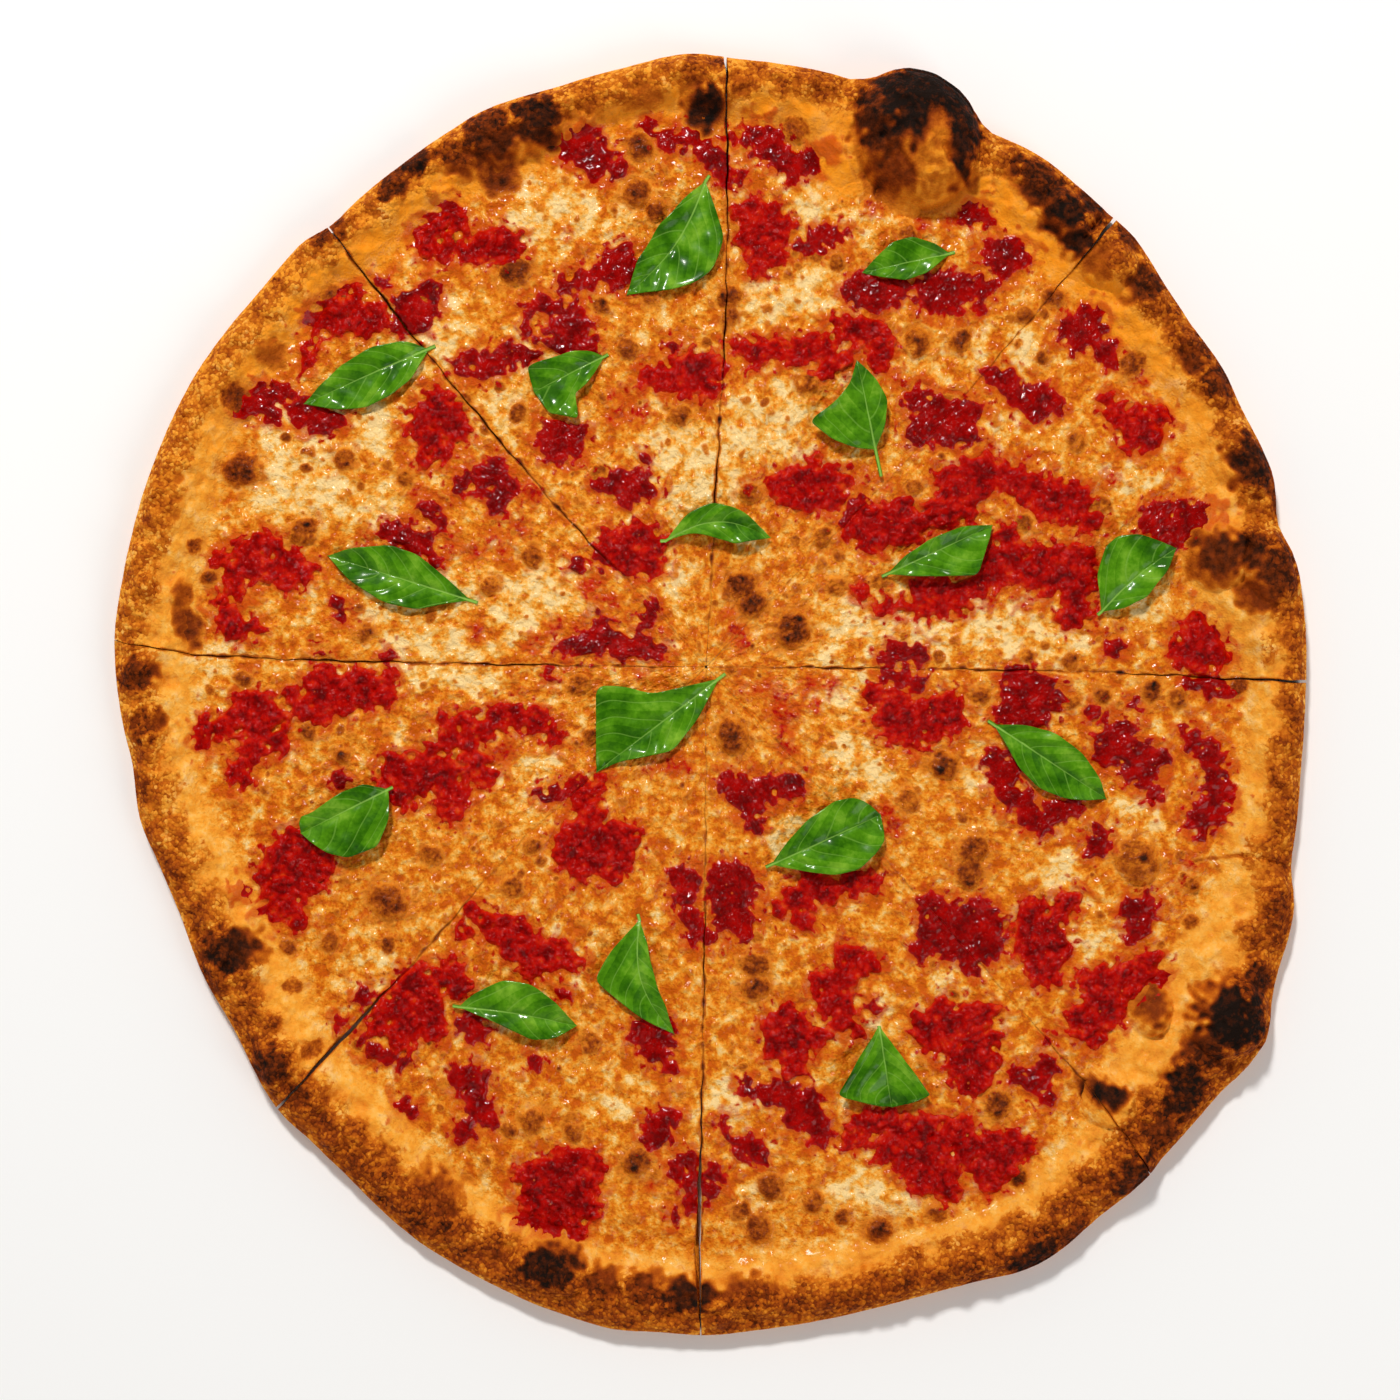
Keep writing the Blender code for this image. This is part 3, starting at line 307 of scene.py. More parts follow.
# %% The large dollops
SAUCE = (
    ("sauce_01", 1, ((83, 66, 4), (88, 62, 5), (91, 66, 5.5), (96, 69, 5), (95, 63, 5), (83, 59, 4),
                     (102, 66, 5), (108, 64, 5.5), (114, 61, 6), (121, 60, 6), (128, 58, 5.5),
                     (118, 55, 5), (126, 53, 5), (133, 50, 4), (85, 54, 5), (91, 53, 4), (80, 52, 5),
                     (56, 50, 6), (63, 50, 6), (58, 44, 5), (68, 54, 5), (70, 46, 5), (52, 55, 4.5),
                     (50, 48, 4.5), (74, 50, 4))),
    ("sauce_02", 1, ((104, 45, 4.5), (99, 38, 4.5), (106, 38, 6), (110, 33, 5.5), (116, 37, 6),
                     (123, 36, 6), (130, 38, 5), (118, 30, 5.5), (126, 31, 5.5), (131, 30, 5),
                     (128, 24, 5.5), (126, 17, 4.5), (131, 19, 4), (102, 32, 4), (54, 26, 3.5),
                     (61, 21, 3), (68, 21, 3), (74, 28, 4), (80, 27, 5), (86, 26, 5), (92, 27, 4),
                     (80, 21, 4), (75, 20, 3.5), (88, 21, 3), (97, 30, 4))),
    ("sauce_03", 1, ((170, 17, 3), (168, 11, 5), (173, 10, 5), (165, 5, 5), (172, 4, 6), (177, 4, 5),
                     (168, 2, 3))),
    ("sauce_04", 1, ((139, 92, 3), (142, 88, 3.5), (145, 85, 4), (151, 85, 5.5), (157, 86, 4),
                     (153, 80, 5), (147, 78, 4))),
    ("sauce_05", 2, ((9, 111, 2.5), (15, 110, 3), (20, 110, 4), (25, 110, 4), (31, 109, 4.5),
                     (36, 110, 4.5), (41, 111, 4), (42, 103, 4), (17, 106, 3), (45, 119, 3),
                     (51, 117, 4), (56, 116, 5.5), (60, 112, 5), (60, 106, 4.5), (48, 107, 3.5))),
    ("sauce_06", 2, ((12, 157, 3.5), (17, 158, 4.5), (23, 156, 4.5), (18, 151, 5), (13, 147, 3.5),
                     (19, 145, 5), (24, 148, 4.5), (18, 139, 4), (25, 142, 3.5), (27, 153, 3))),
    ("sauce_07", 2, ((30, 64, 5), (36, 66, 5), (42, 65, 5), (28, 60, 5), (36, 59, 6), (44, 58, 5),
                     (38, 71, 2.5), (49, 65, 3), (24, 63, 4))),
    ("sauce_08", 3, ((-89, 157, 4), (-93, 153, 4.5), (-97, 149, 4.5), (-86, 154, 4), (-96, 145, 4),
                     (-91, 143, 3.5), (-79, 145, 5), (-74, 146, 6), (-71, 146, 5), (-67, 145, 4.5),
                     (-84, 144, 3.5))),
    ("sauce_09", 3, ((-20, 100, 4), (-15, 100, 4), (-10, 103, 4.5), (-5, 104, 5), (0, 103, 5.5),
                     (3, 102, 4), (-4, 98, 5), (1, 97, 4), (-11, 97, 3))),
    ("sauce_10", 3, ((-34, 43, 4), (-28, 43, 5.5), (-22, 45, 5), (-18, 42, 4.5), (-32, 38, 4.5),
                     (-26, 37, 5.5), (-19, 35, 4.5), (-37, 38, 2))),
    ("sauce_11", 4, ((-125, 124, 5), (-130, 122, 5), (-120, 121, 5.5), (-114, 121, 5), (-128, 119, 4),
                     (-118, 117.5, 3.5), (-136, 120, 3), (-136.5, 112, 2.5), (-138, 106, 3),
                     (-121, 130, 2.5))),
    ("sauce_12", 4, ((-93, 92, 5), (-98, 86, 5), (-90, 88, 6), (-88, 82, 5), (-100, 82, 4),
                     (-95, 79, 5), (-85, 82, 4), (-92, 75, 4), (-97, 72, 3.5))),
    ("sauce_13", 4, ((-168, 37, 3.5), (-160, 39, 5), (-154, 42, 5), (-149, 42, 3), (-158, 33, 5),
                     (-150, 33, 4.5), (-144, 36, 5), (-144, 30, 4), (-165, 33, 3), (-163, 26, 3.5),
                     (-168, 23, 3), (-166, 17, 4), (-163, 13, 4.5), (-157, 14, 3.5), (-138, 33, 3.5))),
    ("sauce_14", 5, ((-134, -3, 4), (-127, -5, 4), (-133, -9, 6), (-126, -11, 6), (-119, -10, 5.5),
                     (-112, -9, 5), (-110, -4, 3.5), (-139, -14, 4.5), (-143, -10, 3.5),
                     (-134, -16, 4.5), (-119, -4, 4))),
    ("sauce_15", 5, ((-159, -12, 4.5), (-153, -13, 4.5), (-160, -17, 5), (-154, -20, 6),
                     (-148, -18, 4), (-166, -21, 4.5), (-173, -21, 4), (-174, -26, 3),
                     (-148, -26, 4.5), (-156, -28, 5), (-162, -35, 4), (-160, -40, 3.5))),
    ("sauce_16", 5, ((-108, -34, 5), (-103, -37, 5.5), (-110, -42, 4.5), (-105, -45, 4.5),
                     (-97, -36, 5.5), (-98, -42, 4), (-91, -37, 6), (-87, -43, 5.5), (-88, -50, 4.5),
                     (-95, -30, 3.5), (-88, -26, 4), (-82, -25, 3.5), (-80, -33, 5), (-85, -19, 4),
                     (-78, -21, 4), (-72, -18, 5), (-92, -18, 2.5), (-65, -17, 5), (-58, -19, 4.5),
                     (-53, -24, 3.5), (-76, -38, 4))),
    ("sauce_17", 5, ((-145, -61, 5), (-139, -62, 6), (-134, -66, 5.5), (-148, -66, 5), (-141, -69, 6),
                     (-152, -72, 4.5), (-147, -76, 6), (-139, -74, 6), (-134, -71, 4.5),
                     (-145, -84, 5), (-141, -88, 3.5), (-160, -78, 3), (-151, -84, 3))),
    ("sauce_18", 6, ((-46, -42, 4), (-42, -46, 4.5), (-37, -40, 3.5), (-40, -52, 4.5), (-45, -58, 6),
                     (-38, -60, 6.5), (-31, -58, 5.5), (-48, -64, 6), (-38, -67, 6), (-30, -66, 5.5),
                     (-26, -60, 4.5), (-32, -72, 3.5), (-44, -70, 4.5))),
    ("sauce_19", 6, ((-100, -105, 3.5), (-104, -109, 4.5), (-98, -111, 6), (-111, -118, 4.5),
                     (-113, -124, 4.5), (-105, -117, 6), (-104, -124, 6), (-97, -118, 6),
                     (-94, -125, 5), (-106, -130, 4), (-90, -109, 4.5), (-85, -110, 4),
                     (-88, -104, 4))),
    ("sauce_20", 6, ((-81, -84, 3), (-83, -92, 3), (-72, -92, 4), (-76, -88, 3.5), (-70, -90, 5),
                     (-68, -96, 5), (-62, -98, 5.5), (-64, -92, 4.5), (-55, -100, 5), (-60, -104, 5),
                     (-50, -99, 4), (-46, -102, 3.5))),
    ("sauce_21", 6, ((-45, -172, 6), (-52, -173, 6), (-60, -175, 5.5), (-42, -178, 6),
                     (-50, -181, 7.5), (-58, -183, 7), (-44, -187, 7), (-52, -190, 7),
                     (-60, -190, 4), (-45, -195, 3.5), (-39, -172, 4), (-64, -177, 3),
                     (-65, -192, 2.5))),
    ("sauce_22", 7, ((55, -158, 5), (62, -157, 6), (50, -163, 4), (68, -161, 6.5), (62, -168, 5),
                     (70, -170, 6), (76, -160, 6), (78, -168, 7), (75, -177, 6), (82, -176, 6),
                     (85, -164, 6), (84, -183, 4), (90, -170, 4.5), (93, -166, 5), (99, -167, 6),
                     (105, -166, 6), (97, -173, 6), (103, -172, 5.5), (99, -179, 4), (110, -166, 4),
                     (88, -158, 4))),
    ("sauce_23", 7, ((82, -119, 5), (76, -124, 5.5), (83, -126, 6), (90, -122, 6), (97, -120, 4.5),
                     (93, -130, 6.5), (88, -137, 6.5), (96, -137, 6), (92, -144, 5.5),
                     (98, -130, 4), (78, -130, 4))),
    ("sauce_24", 7, ((24, -124, 4.5), (29, -122, 5.5), (24, -130, 5.5), (31, -129, 7),
                     (38, -128, 4.5), (30, -137, 5.5), (40, -109, 4.5), (46, -109, 5), (43, -115, 5),
                     (48, -117, 4.5), (46, -122, 4), (51, -102, 5), (47, -98, 3), (57, -103, 4),
                     (52, -126, 3))),
    ("sauce_25", 7, ((37, -74, 5), (32, -80, 5.5), (42, -78, 4.5), (34, -87, 4), (50, -75, 4.5),
                     (56, -74, 4.5), (24, -84, 3))),
    ("sauce_26", 8, ((154, -102, 4.5), (156, -107, 3.5), (150, -107, 4.5), (145, -107, 5.5),
                     (138, -108, 5), (131, -109, 4), (148, -112, 4), (137, -115, 6), (133, -122, 7),
                     (140, -120, 5.5), (128, -122, 4.5), (134, -128, 4))),
    ("sauce_27", 8, ((113, -85, 5), (110, -90, 5), (117, -91, 6.5), (113, -98, 6), (121, -97, 5.5),
                     (117, -105, 6), (123, -84, 4.5), (127, -80, 3.5))),
    ("sauce_28", 8, ((58, -10, 4), (65, -13, 5), (62, -18, 4.5), (70, -17, 5.5), (77, -16, 5.5),
                     (84, -13, 5), (80, -20, 5.5), (87, -18, 4), (72, -24, 5), (66, -23, 4))),
)

# %% [markdown]
# The small dabs come next, slice by slice. Some are strong and red, and others have almost
# disappeared into the cheese and are only an orange-red blush.

# %% The small dabs
DABS = (
    (160, 50, 5), (153, 50, 4), (166, 53, 5), (172, 52, 5), (176, 49, 3), (161, 44, 4), (164, 47, 4.5),
    (157, 54, 4), (99, 101, 3.5), (103, 99, 4.5), (107, 95, 4), (112, 93, 5.5), (118, 92, 4.5),
    (113, 88, 3.5), (122, 90, 2.5), (130, 121, 4), (135, 121, 3.5), (128, 116, 5), (134, 116, 4.5),
    (124, 116, 3), (129, 112, 3), (138, 109, 4), (141, 106, 3), (73, 93, 5), (80, 88, 6),
    (87, 88, 5.5), (92, 88, 4.5), (75, 82, 6), (83, 81, 5), (90, 80, 4), (141, 7, 4),
    (17, 185, 2.5), (20, 184, 3.5), (24, 181, 4.5), (20, 178, 4), (27, 176, 3.5), (31, 174, 5),
    (37, 175, 4), (42, 178, 3), (30, 170, 3), (14, 183, 2), (33, 146, 3), (38, 147, 4), (43, 149, 4),
    (47, 149, 2.5), (52, 130, 5), (57, 128, 6), (62, 129, 5), (66, 130, 4), (55, 134, 4),
    (98, 143, 3.5), (103, 143, 5.5), (108, 142, 4.5), (103, 138, 4), (77, 132, 4), (82, 131, 5.5),
    (88, 131, 5.5), (94, 132, 4), (98, 132, 2.5), (80, 126, 4.5), (85, 126, 4.5), (75, 126, 3),
    (95, 124, 2.5), (9, 184, 2.5), (9, 168, 2.8), (12, 170, 2), (92, 157, 4.5), (96, 155, 3),
    (-112, 133, 2.5), (-95, 131, 3.5), (-103, 124, 6), (-97, 123, 5), (-104, 119, 5), (-99, 119, 3.5),
    (-85, 103, 3), (-80, 106, 4), (-77, 103, 4), (-72, 106, 4.5), (-67, 108, 4.5), (-62, 108, 4),
    (-46, 184, 4.5), (-40, 183, 4), (-47, 179, 4), (-41, 178, 5.5), (-36, 176, 5), (-31, 173, 4),
    (-38, 172, 4), (-19, 187, 3), (-13, 182, 4), (-8, 183, 3.5), (-4, 182, 3), (0, 179, 4),
    (3, 175, 4), (5, 171, 3), (-29, 144, 3), (-26, 138, 3), (-35, 136, 4.5), (-42, 134, 4),
    (-48, 132, 3.5), (-30, 140, 5), (-29, 134, 4), (-61, 124, 3), (-57, 127, 2.5), (-52, 124, 3),
    (-48, 121, 4), (-45, 117, 5.5), (-50, 114, 5.5), (-41, 112, 4), (-46, 111, 5), (-54, 80, 5),
    (-49, 79, 5), (-45, 81, 4), (-52, 74, 4.5), (-46, 75, 3.5), (-36, 63, 3.5), (-30, 63, 4.5),
    (-25, 64, 5), (-27, 59, 3.5), (-20, 62, 4), (-12, 111, 2.4), (-61, 116, 2.3), (-21, 72, 2),
    (-156, 91, 4), (-153, 93, 4.5), (-147, 94, 3.5), (-150, 88, 4), (-145, 96, 2), (-160, 88, 2),
    (-140, 88, 4), (-136, 87, 5), (-132, 84, 4.5), (-128, 86, 4), (-127, 22, 2.5), (-125, 18, 2.5),
    (-110, 47, 4), (-104, 45, 4.5), (-98, 42, 4.5), (-94, 37, 3), (-96, 54, 3.5), (-92, 50, 3),
    (-73, 68, 5), (-78, 65, 5), (-70, 62, 5), (-84, 63, 3.5), (-72, 56, 4), (-48, 7, 3.5),
    (-42, 8, 4.5), (-36, 10, 5), (-37, 15, 3.5), (-30, 7, 5), (-24, 8, 4), (-18, 6, 4), (-21, 17, 3),
    (-20, 21, 2.5), (-44, 35, 3), (-110, 3, 2.5), (-133, 5, 2), (-127, -39, 3.5), (-54, -2, 2.2),
    (-118, -114, 3.5), (-126, -123, 2.5), (-56, -44, 3), (-52, -43.5, 3), (-119, -129, 2.6),
    (-115, -133, 3), (-110, -135, 3), (-105, -137, 2.6), (-83, -124, 4), (-79, -126, 4.5),
    (-85, -142, 4.5), (-80, -142, 4.5), (-80, -148, 5), (-79, -154, 4.5), (-75, -157, 3.5),
    (-84, -161, 4), (-105, -151, 2.5), (-102, -154, 2.5), (-59, -137, 3), (-50, -113, 2.5),
    (-10, -72, 3.5), (-6, -74, 4), (-8, -80, 4), (-5, -86, 4), (-4, -93, 3.5), (-22, -127, 5),
    (-16, -127, 6), (-18, -133, 4.5), (-12, -139, 3), (-16, -158, 5), (-18, -163, 4.5),
    (-13, -156, 3.5), (-6, -172, 4.5), (-10, -174, 3.5), (-4, -178, 4), (-5, -185, 3.5),
    (-11, -190, 2.5), (5, -72, 4.5), (10, -72, 5), (14, -76, 4.5), (5, -78, 5), (10, -81, 6),
    (6, -86, 4), (12, -88, 5), (14, -93, 3), (2, -94, 3), (8, -40, 4), (13, -44, 6), (20, -42, 5),
    (26, -42, 4.5), (31, -41, 4), (16, -50, 4), (17, -55, 3), (20, -148, 4), (25, -147, 4),
    (30, -150, 5), (35, -151, 5.5), (31, -156, 4.5), (38, -157, 4.5), (13, -145, 3), (40, -163, 4),
    (3, -176, 3.5), (2, -182, 3), (14, -166, 3.5), (18, -168, 4), (10, -165, 2.5), (6, -158, 2.5),
    (108, -142, 3.5), (118, -138, 4), (115, -143, 4.5), (118, -149, 3), (119, -129, 2.2),
    (58, -118, 2.5), (62, -3, 3), (68, -4, 3.5), (73, -6, 3), (78, -83, 5.5), (80, -92, 6.5),
    (88, -88, 7), (95, -85, 5.5), (86, -96, 6), (94, -95, 6.5), (75, -98, 4.5), (92, -103, 4.5),
    (99, -98, 4), (100, -91, 4.5), (147, -84, 4), (153, -82, 4), (150, -88, 4.5), (148, -93, 3.5),
    (105, -3, 3), (110, -4, 5), (108, -10, 5.5), (113, -10, 5.5), (118, -8, 4.5), (104, -16, 4.5),
    (110, -17, 5.5), (115, -15, 4.5), (121, -12, 3.5), (148, -13, 2.2), (135, -16, 3.5),
    (140, -25, 5), (146, -22, 4), (138, -31, 4.5), (146, -30, 5.5), (152, -31, 5), (157, -31, 3.5),
    (147, -37, 3.5), (152, -38, 4), (155, -44, 3.5), (168, -5, 3.5), (174, -6, 4), (179, -9, 3.5),
    (167, -21, 3), (169, -26, 3.5), (174, -29, 4.5), (176, -34, 4.5), (175, -41, 4.5),
    (179, -43, 4), (174, -49, 5), (170, -53, 4.5), (177, -50, 4), (172, -57, 3), (100, -32, 4.5),
    (104, -38, 5.5), (104, -44, 4.5), (109, -46, 4), (111, -51, 4.5), (116, -54, 4.5),
    (121, -50, 4.5), (127, -49, 4), (135, -62, 4.5), (137, -57, 3), (63, 4, 3.5), (68, 6, 3.5),
    (73, 4, 4),
)
BLUSHES = (
    (55, 64, 2.5), (62, 63, 3), (15, 62, 4), (163, 68, 3.5), (112, 73, 3.5), (108, 72, 3),
    (10, 13, 4), (12, 8, 4), (9, 20, 3), (75, 153, 3.5), (85, 155, 4), (58, 159, 4), (8, 176, 3),
    (-33, 94, 3), (-28, 96, 3), (-27, 88, 4), (-22, 88, 4), (-32, 86, 3.5), (-48, 150, 2.5),
    (-88, 42, 4), (-80, 40, 4), (-73, 45, 3), (-70, 40, 3), (-79, 12, 4), (-33, 22.5, 4),
    (-23, -2, 3), (-13, -33, 4), (-8, -35, 4), (-20, -35, 3), (-19, -179, 3.5), (62, -50, 4),
    (65, -55, 4.5), (12, -7, 3), (18, -8, 3), (22, -6, 3), (26, -10, 4), (25, -15, 4.5),
    (30, -16, 3.5), (27, -21, 4), (28, -28, 4), (36, -6, 4), (38, -13, 3.5), (43, -6, 4),
    (165, -67, 3), (168, -68, 3.5), (165, -75, 3), (-40, 28, 5), (-52, 14, 4), (-60, 8, 4),
    (-100, 60, 4), (-60, 60, 5), (-65, 48, 4), (-118, 42, 4), (-90, -42, 6), (-70, -30, 5),
    (48, 92, 3), (98, 76, 4), (140, 66, 4), (150, 100, 4), (66, 100, 4), (110, 22, 4), (98, 22, 4),
)
MELT = 0.8
BLOB_REACH = 7.0
FAR_OUTSIDE = -9.0
ALMOST_NOTHING = 1e-9


def map_window(low_x, high_x, low_y, high_y):
    """The part of the map that covers a rectangle in mm, as two slices."""
    left = max(0, int((low_x - MAP_LEFT) / CELL))
    right = min(MAP_COLUMNS, int((high_x - MAP_LEFT) / CELL) + 2)
    bottom = max(0, int((low_y - MAP_BOTTOM) / CELL))
    top = min(MAP_ROWS, int((high_y - MAP_BOTTOM) / CELL) + 2)
    return slice(bottom, top), slice(left, right)


def blob_field(blobs):
    """How deep each place lies inside blobs that run together, in mm and below zero outside."""
    total = np.full(X.shape, ALMOST_NOTHING)
    for x, y, radius in blobs:
        reach = radius + BLOB_REACH
        window = map_window(x - reach, x + reach, y - reach, y + reach)
        away = np.hypot(X[window] - x, Y[window] - y)
        total[window] += np.exp(MELT * (radius - away))
    return np.maximum(np.log(total) / MELT, FAR_OUTSIDE)


dollop_depths = {name: blob_field(blobs) for name, _, blobs in SAUCE}
large_depth = np.max(list(dollop_depths.values()), axis=0)
dab_depth = blob_field(DABS)
blush_depth = blob_field(BLUSHES)
fray = 0.4 + 0.7 * swell_4 + 0.16 * swell_2 + 0.6 * swell_8
edge_fray = 0.9 * fray
print(len(SAUCE), "large dollops, and", len(DABS), "blobs in the small ones")

# %% [markdown]
# ## Blisters and burns
#
# In the oven the cheese bubbles, and each bubble browns on top. The rim puffs up between the cuts,
# and whatever stands highest is burnt first. So a burn on the rim is a mark and a rise at once.
# Every spot is an ellipse: its middle, half its length and width, its turn, and how dark it is.

# %% Blisters in the cheese and burns on the rim
BUBBLES = (
    (73, 183, 25, 21, 100, 18), (176, 38, 11, 12, 0, 4), (196, 35, 11, 13, 0, 5),
    (125, 155, 11, 8, -45, 4), (138, 141, 12, 10, -45, 5), (187, 72, 12, 14, 60, 3),
    (180, -121, 15, 14, 0, 8), (154, -119, 9, 7, 75, 5), (135, -148, 15, 9, -35, 6),
    (-66, 188, 20, 11, 20, 4), (-148, -137, 11, 9, 45, 3), (-52, -206, 15, 11, 0, 3),
    (0, 193, 8, 8, 0, 2), (147, -174, 12, 10, -45, 3),
)
BLISTERS = (
    (-161, 68, 6.5, 0.9), (-139, 47, 5, 0.7), (-125, 72, 4, 0.6), (-104, 65, 3, 0.6),
    (-110, -81, 6.8, 0.72), (12, 28, 5.5, 0.85), (16, 22, 5, 0.85), (30, 13, 6.3, 0.9),
    (9, -24, 6, 0.8), (17, -103, 4.8, 0.75), (17, -111, 4.8, 0.75), (92, -63, 5.5, 0.7),
    (91, -71, 5.5, 0.75), (149, -67, 8, 0.5), (82, -34, 5, 0.8), (-66, 137, 5.5, 0.85),
    (-24, 164, 5, 0.75), (-17, 158, 4, 0.7), (-23, 180, 5, 0.85), (31, 186, 5, 0.7),
    (35, 98, 4, 0.45), (88, 113, 4, 0.8), (73, 112, 5, 0.6), (-36, 125, 3, 0.7), (-27, 110, 4, 0.6),
    (-9, 87, 4, 0.5), (-65, 88, 3.5, 0.6), (-37, 67, 3, 0.6), (-60, 38, 4, 0.5), (15, 60, 4, 0.5),
    (-44, -6, 4, 0.6), (-130, -95, 3.5, 0.6), (-110, -96, 3, 0.6), (-145, -97, 3, 0.6),
    (-143, -110, 3.5, 0.55), (-136, -132, 4, 0.6), (-60, -157, 4.5, 0.6), (-46, -161, 3.5, 0.6),
    (-68, -160, 3, 0.5), (-67, -76, 4, 0.5), (-24, -171, 5, 0.85), (101, -151, 5, 0.85),
    (108, -176, 4, 0.95), (80, -189, 3.5, 0.5), (168, -75, 3, 0.6), (168, -88, 3, 0.6),
    (154, -8, 4, 0.8), (163, -11, 3, 0.7), (137, -10, 3, 0.7), (95, -10, 3.5, 0.6),
    (184, -7, 3.5, 0.8), (126, 2, 3, 0.6), (111, 4, 2.5, 0.6), (137, 56, 3.5, 0.5), (72, 62, 3, 0.5),
    (148, 105, 5, 0.75), (116, 107, 2.5, 0.8), (-138, -22, 3, 0.7), (-126, -31, 3, 0.6),
    (60, -195, 5, 0.85), (47, -190, 3, 0.7), (18, -194, 5, 0.75), (22, -180, 4.5, 0.75),
    (24, -178, 3, 0.7), (12, -188, 3.5, 0.6), (37, -185, 4, 0.55), (-162, 92, 6.5, 0.85),
    (-128, 127, 6, 0.8), (-148, 132, 3, 0.5), (-172, 31, 3, 0.85), (-177, 42, 3, 0.85),
    (-89, 148, 3, 0.75), (-76, -87, 3.5, 0.7), (60, 30, 3, 0.4), (-118, 12, 3.5, 0.5),
    (-84, 92, 3, 0.5), (-110, 40, 3.5, 0.5), (-160, -4, 3, 0.6), (45, 28, 3.5, 0.4),
    (-75, 28, 3.5, 0.45), (-40, -24, 3, 0.4), (70, -46, 4, 0.5), (108, -28, 3.5, 0.5),
    (126, -12, 3, 0.5), (-20, -105, 3.5, 0.45), (-40, -130, 4, 0.5), (-120, -60, 3.5, 0.5),
    (-95, -65, 4, 0.5), (-60, -62, 3.5, 0.45), (40, 45, 3.5, 0.5), (128, 78, 3.5, 0.5),
    (110, 50, 3, 0.6), (-20, 128, 3.5, 0.5), (8, 128, 4.5, 0.7), (8, 121, 3.5, 0.6),
    (45, 140, 3, 0.5), (70, 150, 3.5, 0.5), (120, 128, 4, 0.7), (110, 122, 3, 0.6),
)
BURNS = (
    (74, 194, 23, 19, 10, 1.0), (87, 184, 9, 20, 0, 0.97), (59, 186, 9, 18, 10, 0.92),
    (64, 169, 10, 9, 0, 0.8), (176, 38, 10, 10, 0, 0.88), (187, 40, 8, 8, 0, 0.9),
    (196, 33, 9, 11, 0, 0.88), (190, 24, 9, 6, -30, 0.8), (116, 166, 16, 8, -40, 0.9),
    (124, 156, 9, 8, 0, 0.97), (128, 147, 6, 7, 0, 0.95), (134, 160, 9, 6, -50, 0.92),
    (137, 142, 10, 9, 0, 0.66), (146, 149, 7, 5, -40, 0.85), (188, 70, 9, 13, 30, 0.92),
    (198, 60, 5, 10, 0, 0.85), (152, 131, 8, 9, 0, 0.88), (168, 108, 7, 10, 30, 0.82),
    (176, 98, 7, 8, 30, 0.85), (181, -121, 14, 14, 0, 1.0), (172, -132, 8, 8, 0, 0.9),
    (190, -108, 6, 9, 0, 0.9), (154, -117, 6, 9, 0, 0.78), (137, -147, 10, 5, -20, 0.97),
    (165, -145, 8, 15, -15, 0.95), (156, -160, 8, 9, -30, 0.85), (147, -175, 11, 8, 40, 0.9),
    (113, -203, 13, 6, 25, 0.95), (126, -196, 9, 6, 30, 0.85), (-6, -217, 11, 7, 0, 0.93),
    (-22, -214, 9, 7, 0, 0.82), (15, -216, 12, 7, 0, 0.75), (-54, -207, 13, 9, 0, 0.95),
    (-36, -213, 9, 7, 0, 0.8), (-150, -137, 9, 8, 0, 0.9), (-140, -148, 7, 6, -40, 0.8),
    (-164, -98, 12, 9, 0, 0.93), (-172, -108, 8, 7, 0, 0.8), (-96, -186, 13, 14, -30, 0.76),
    (-196, -3, 8, 7, 0, 0.86), (-193, -20, 7, 7, 0, 0.78), (-195, -40, 5, 6, 0, 0.7),
    (-179, 14, 5, 8, 20, 0.8), (-181, 25, 3.5, 6, 0, 0.7), (-100, 175, 8, 6, 35, 0.92),
    (-108, 166, 7, 6, 40, 0.85), (-130, 150, 9, 5, 40, 0.8), (-58, 188, 10, 11, 15, 0.93),
    (-74, 182, 11, 12, 30, 0.88), (-85, 176, 7, 8, 30, 0.8), (-72, 170, 8, 7, 0, 0.82),
    (0, 193, 8, 8, 0, 0.97), (-4, 204, 6, 8, 0, 0.7), (12, 201, 8, 5, 0, 0.62),
    (-22, 198, 10, 6, 0, 0.55), (-40, 196, 8, 7, 0, 0.6), (36, 203, 10, 5, 0, 0.6),
    (-150, 108, 6, 5, 0, 0.6), (-186, 60, 6, 14, 0, 0.55), (-195, 30, 5, 12, 0, 0.5),
    (-190, -70, 7, 12, 0, 0.62), (-120, -172, 12, 9, -35, 0.66), (60, -214, 18, 7, 5, 0.66),
    (90, -208, 10, 7, 15, 0.7), (197, -85, 6, 12, 0, 0.75), (203, -55, 5, 12, 0, 0.62),
    (203, -20, 5, 10, 0, 0.6), (203, 8, 5, 8, 0, 0.6), (160, 124, 8, 6, -50, 0.7),
)
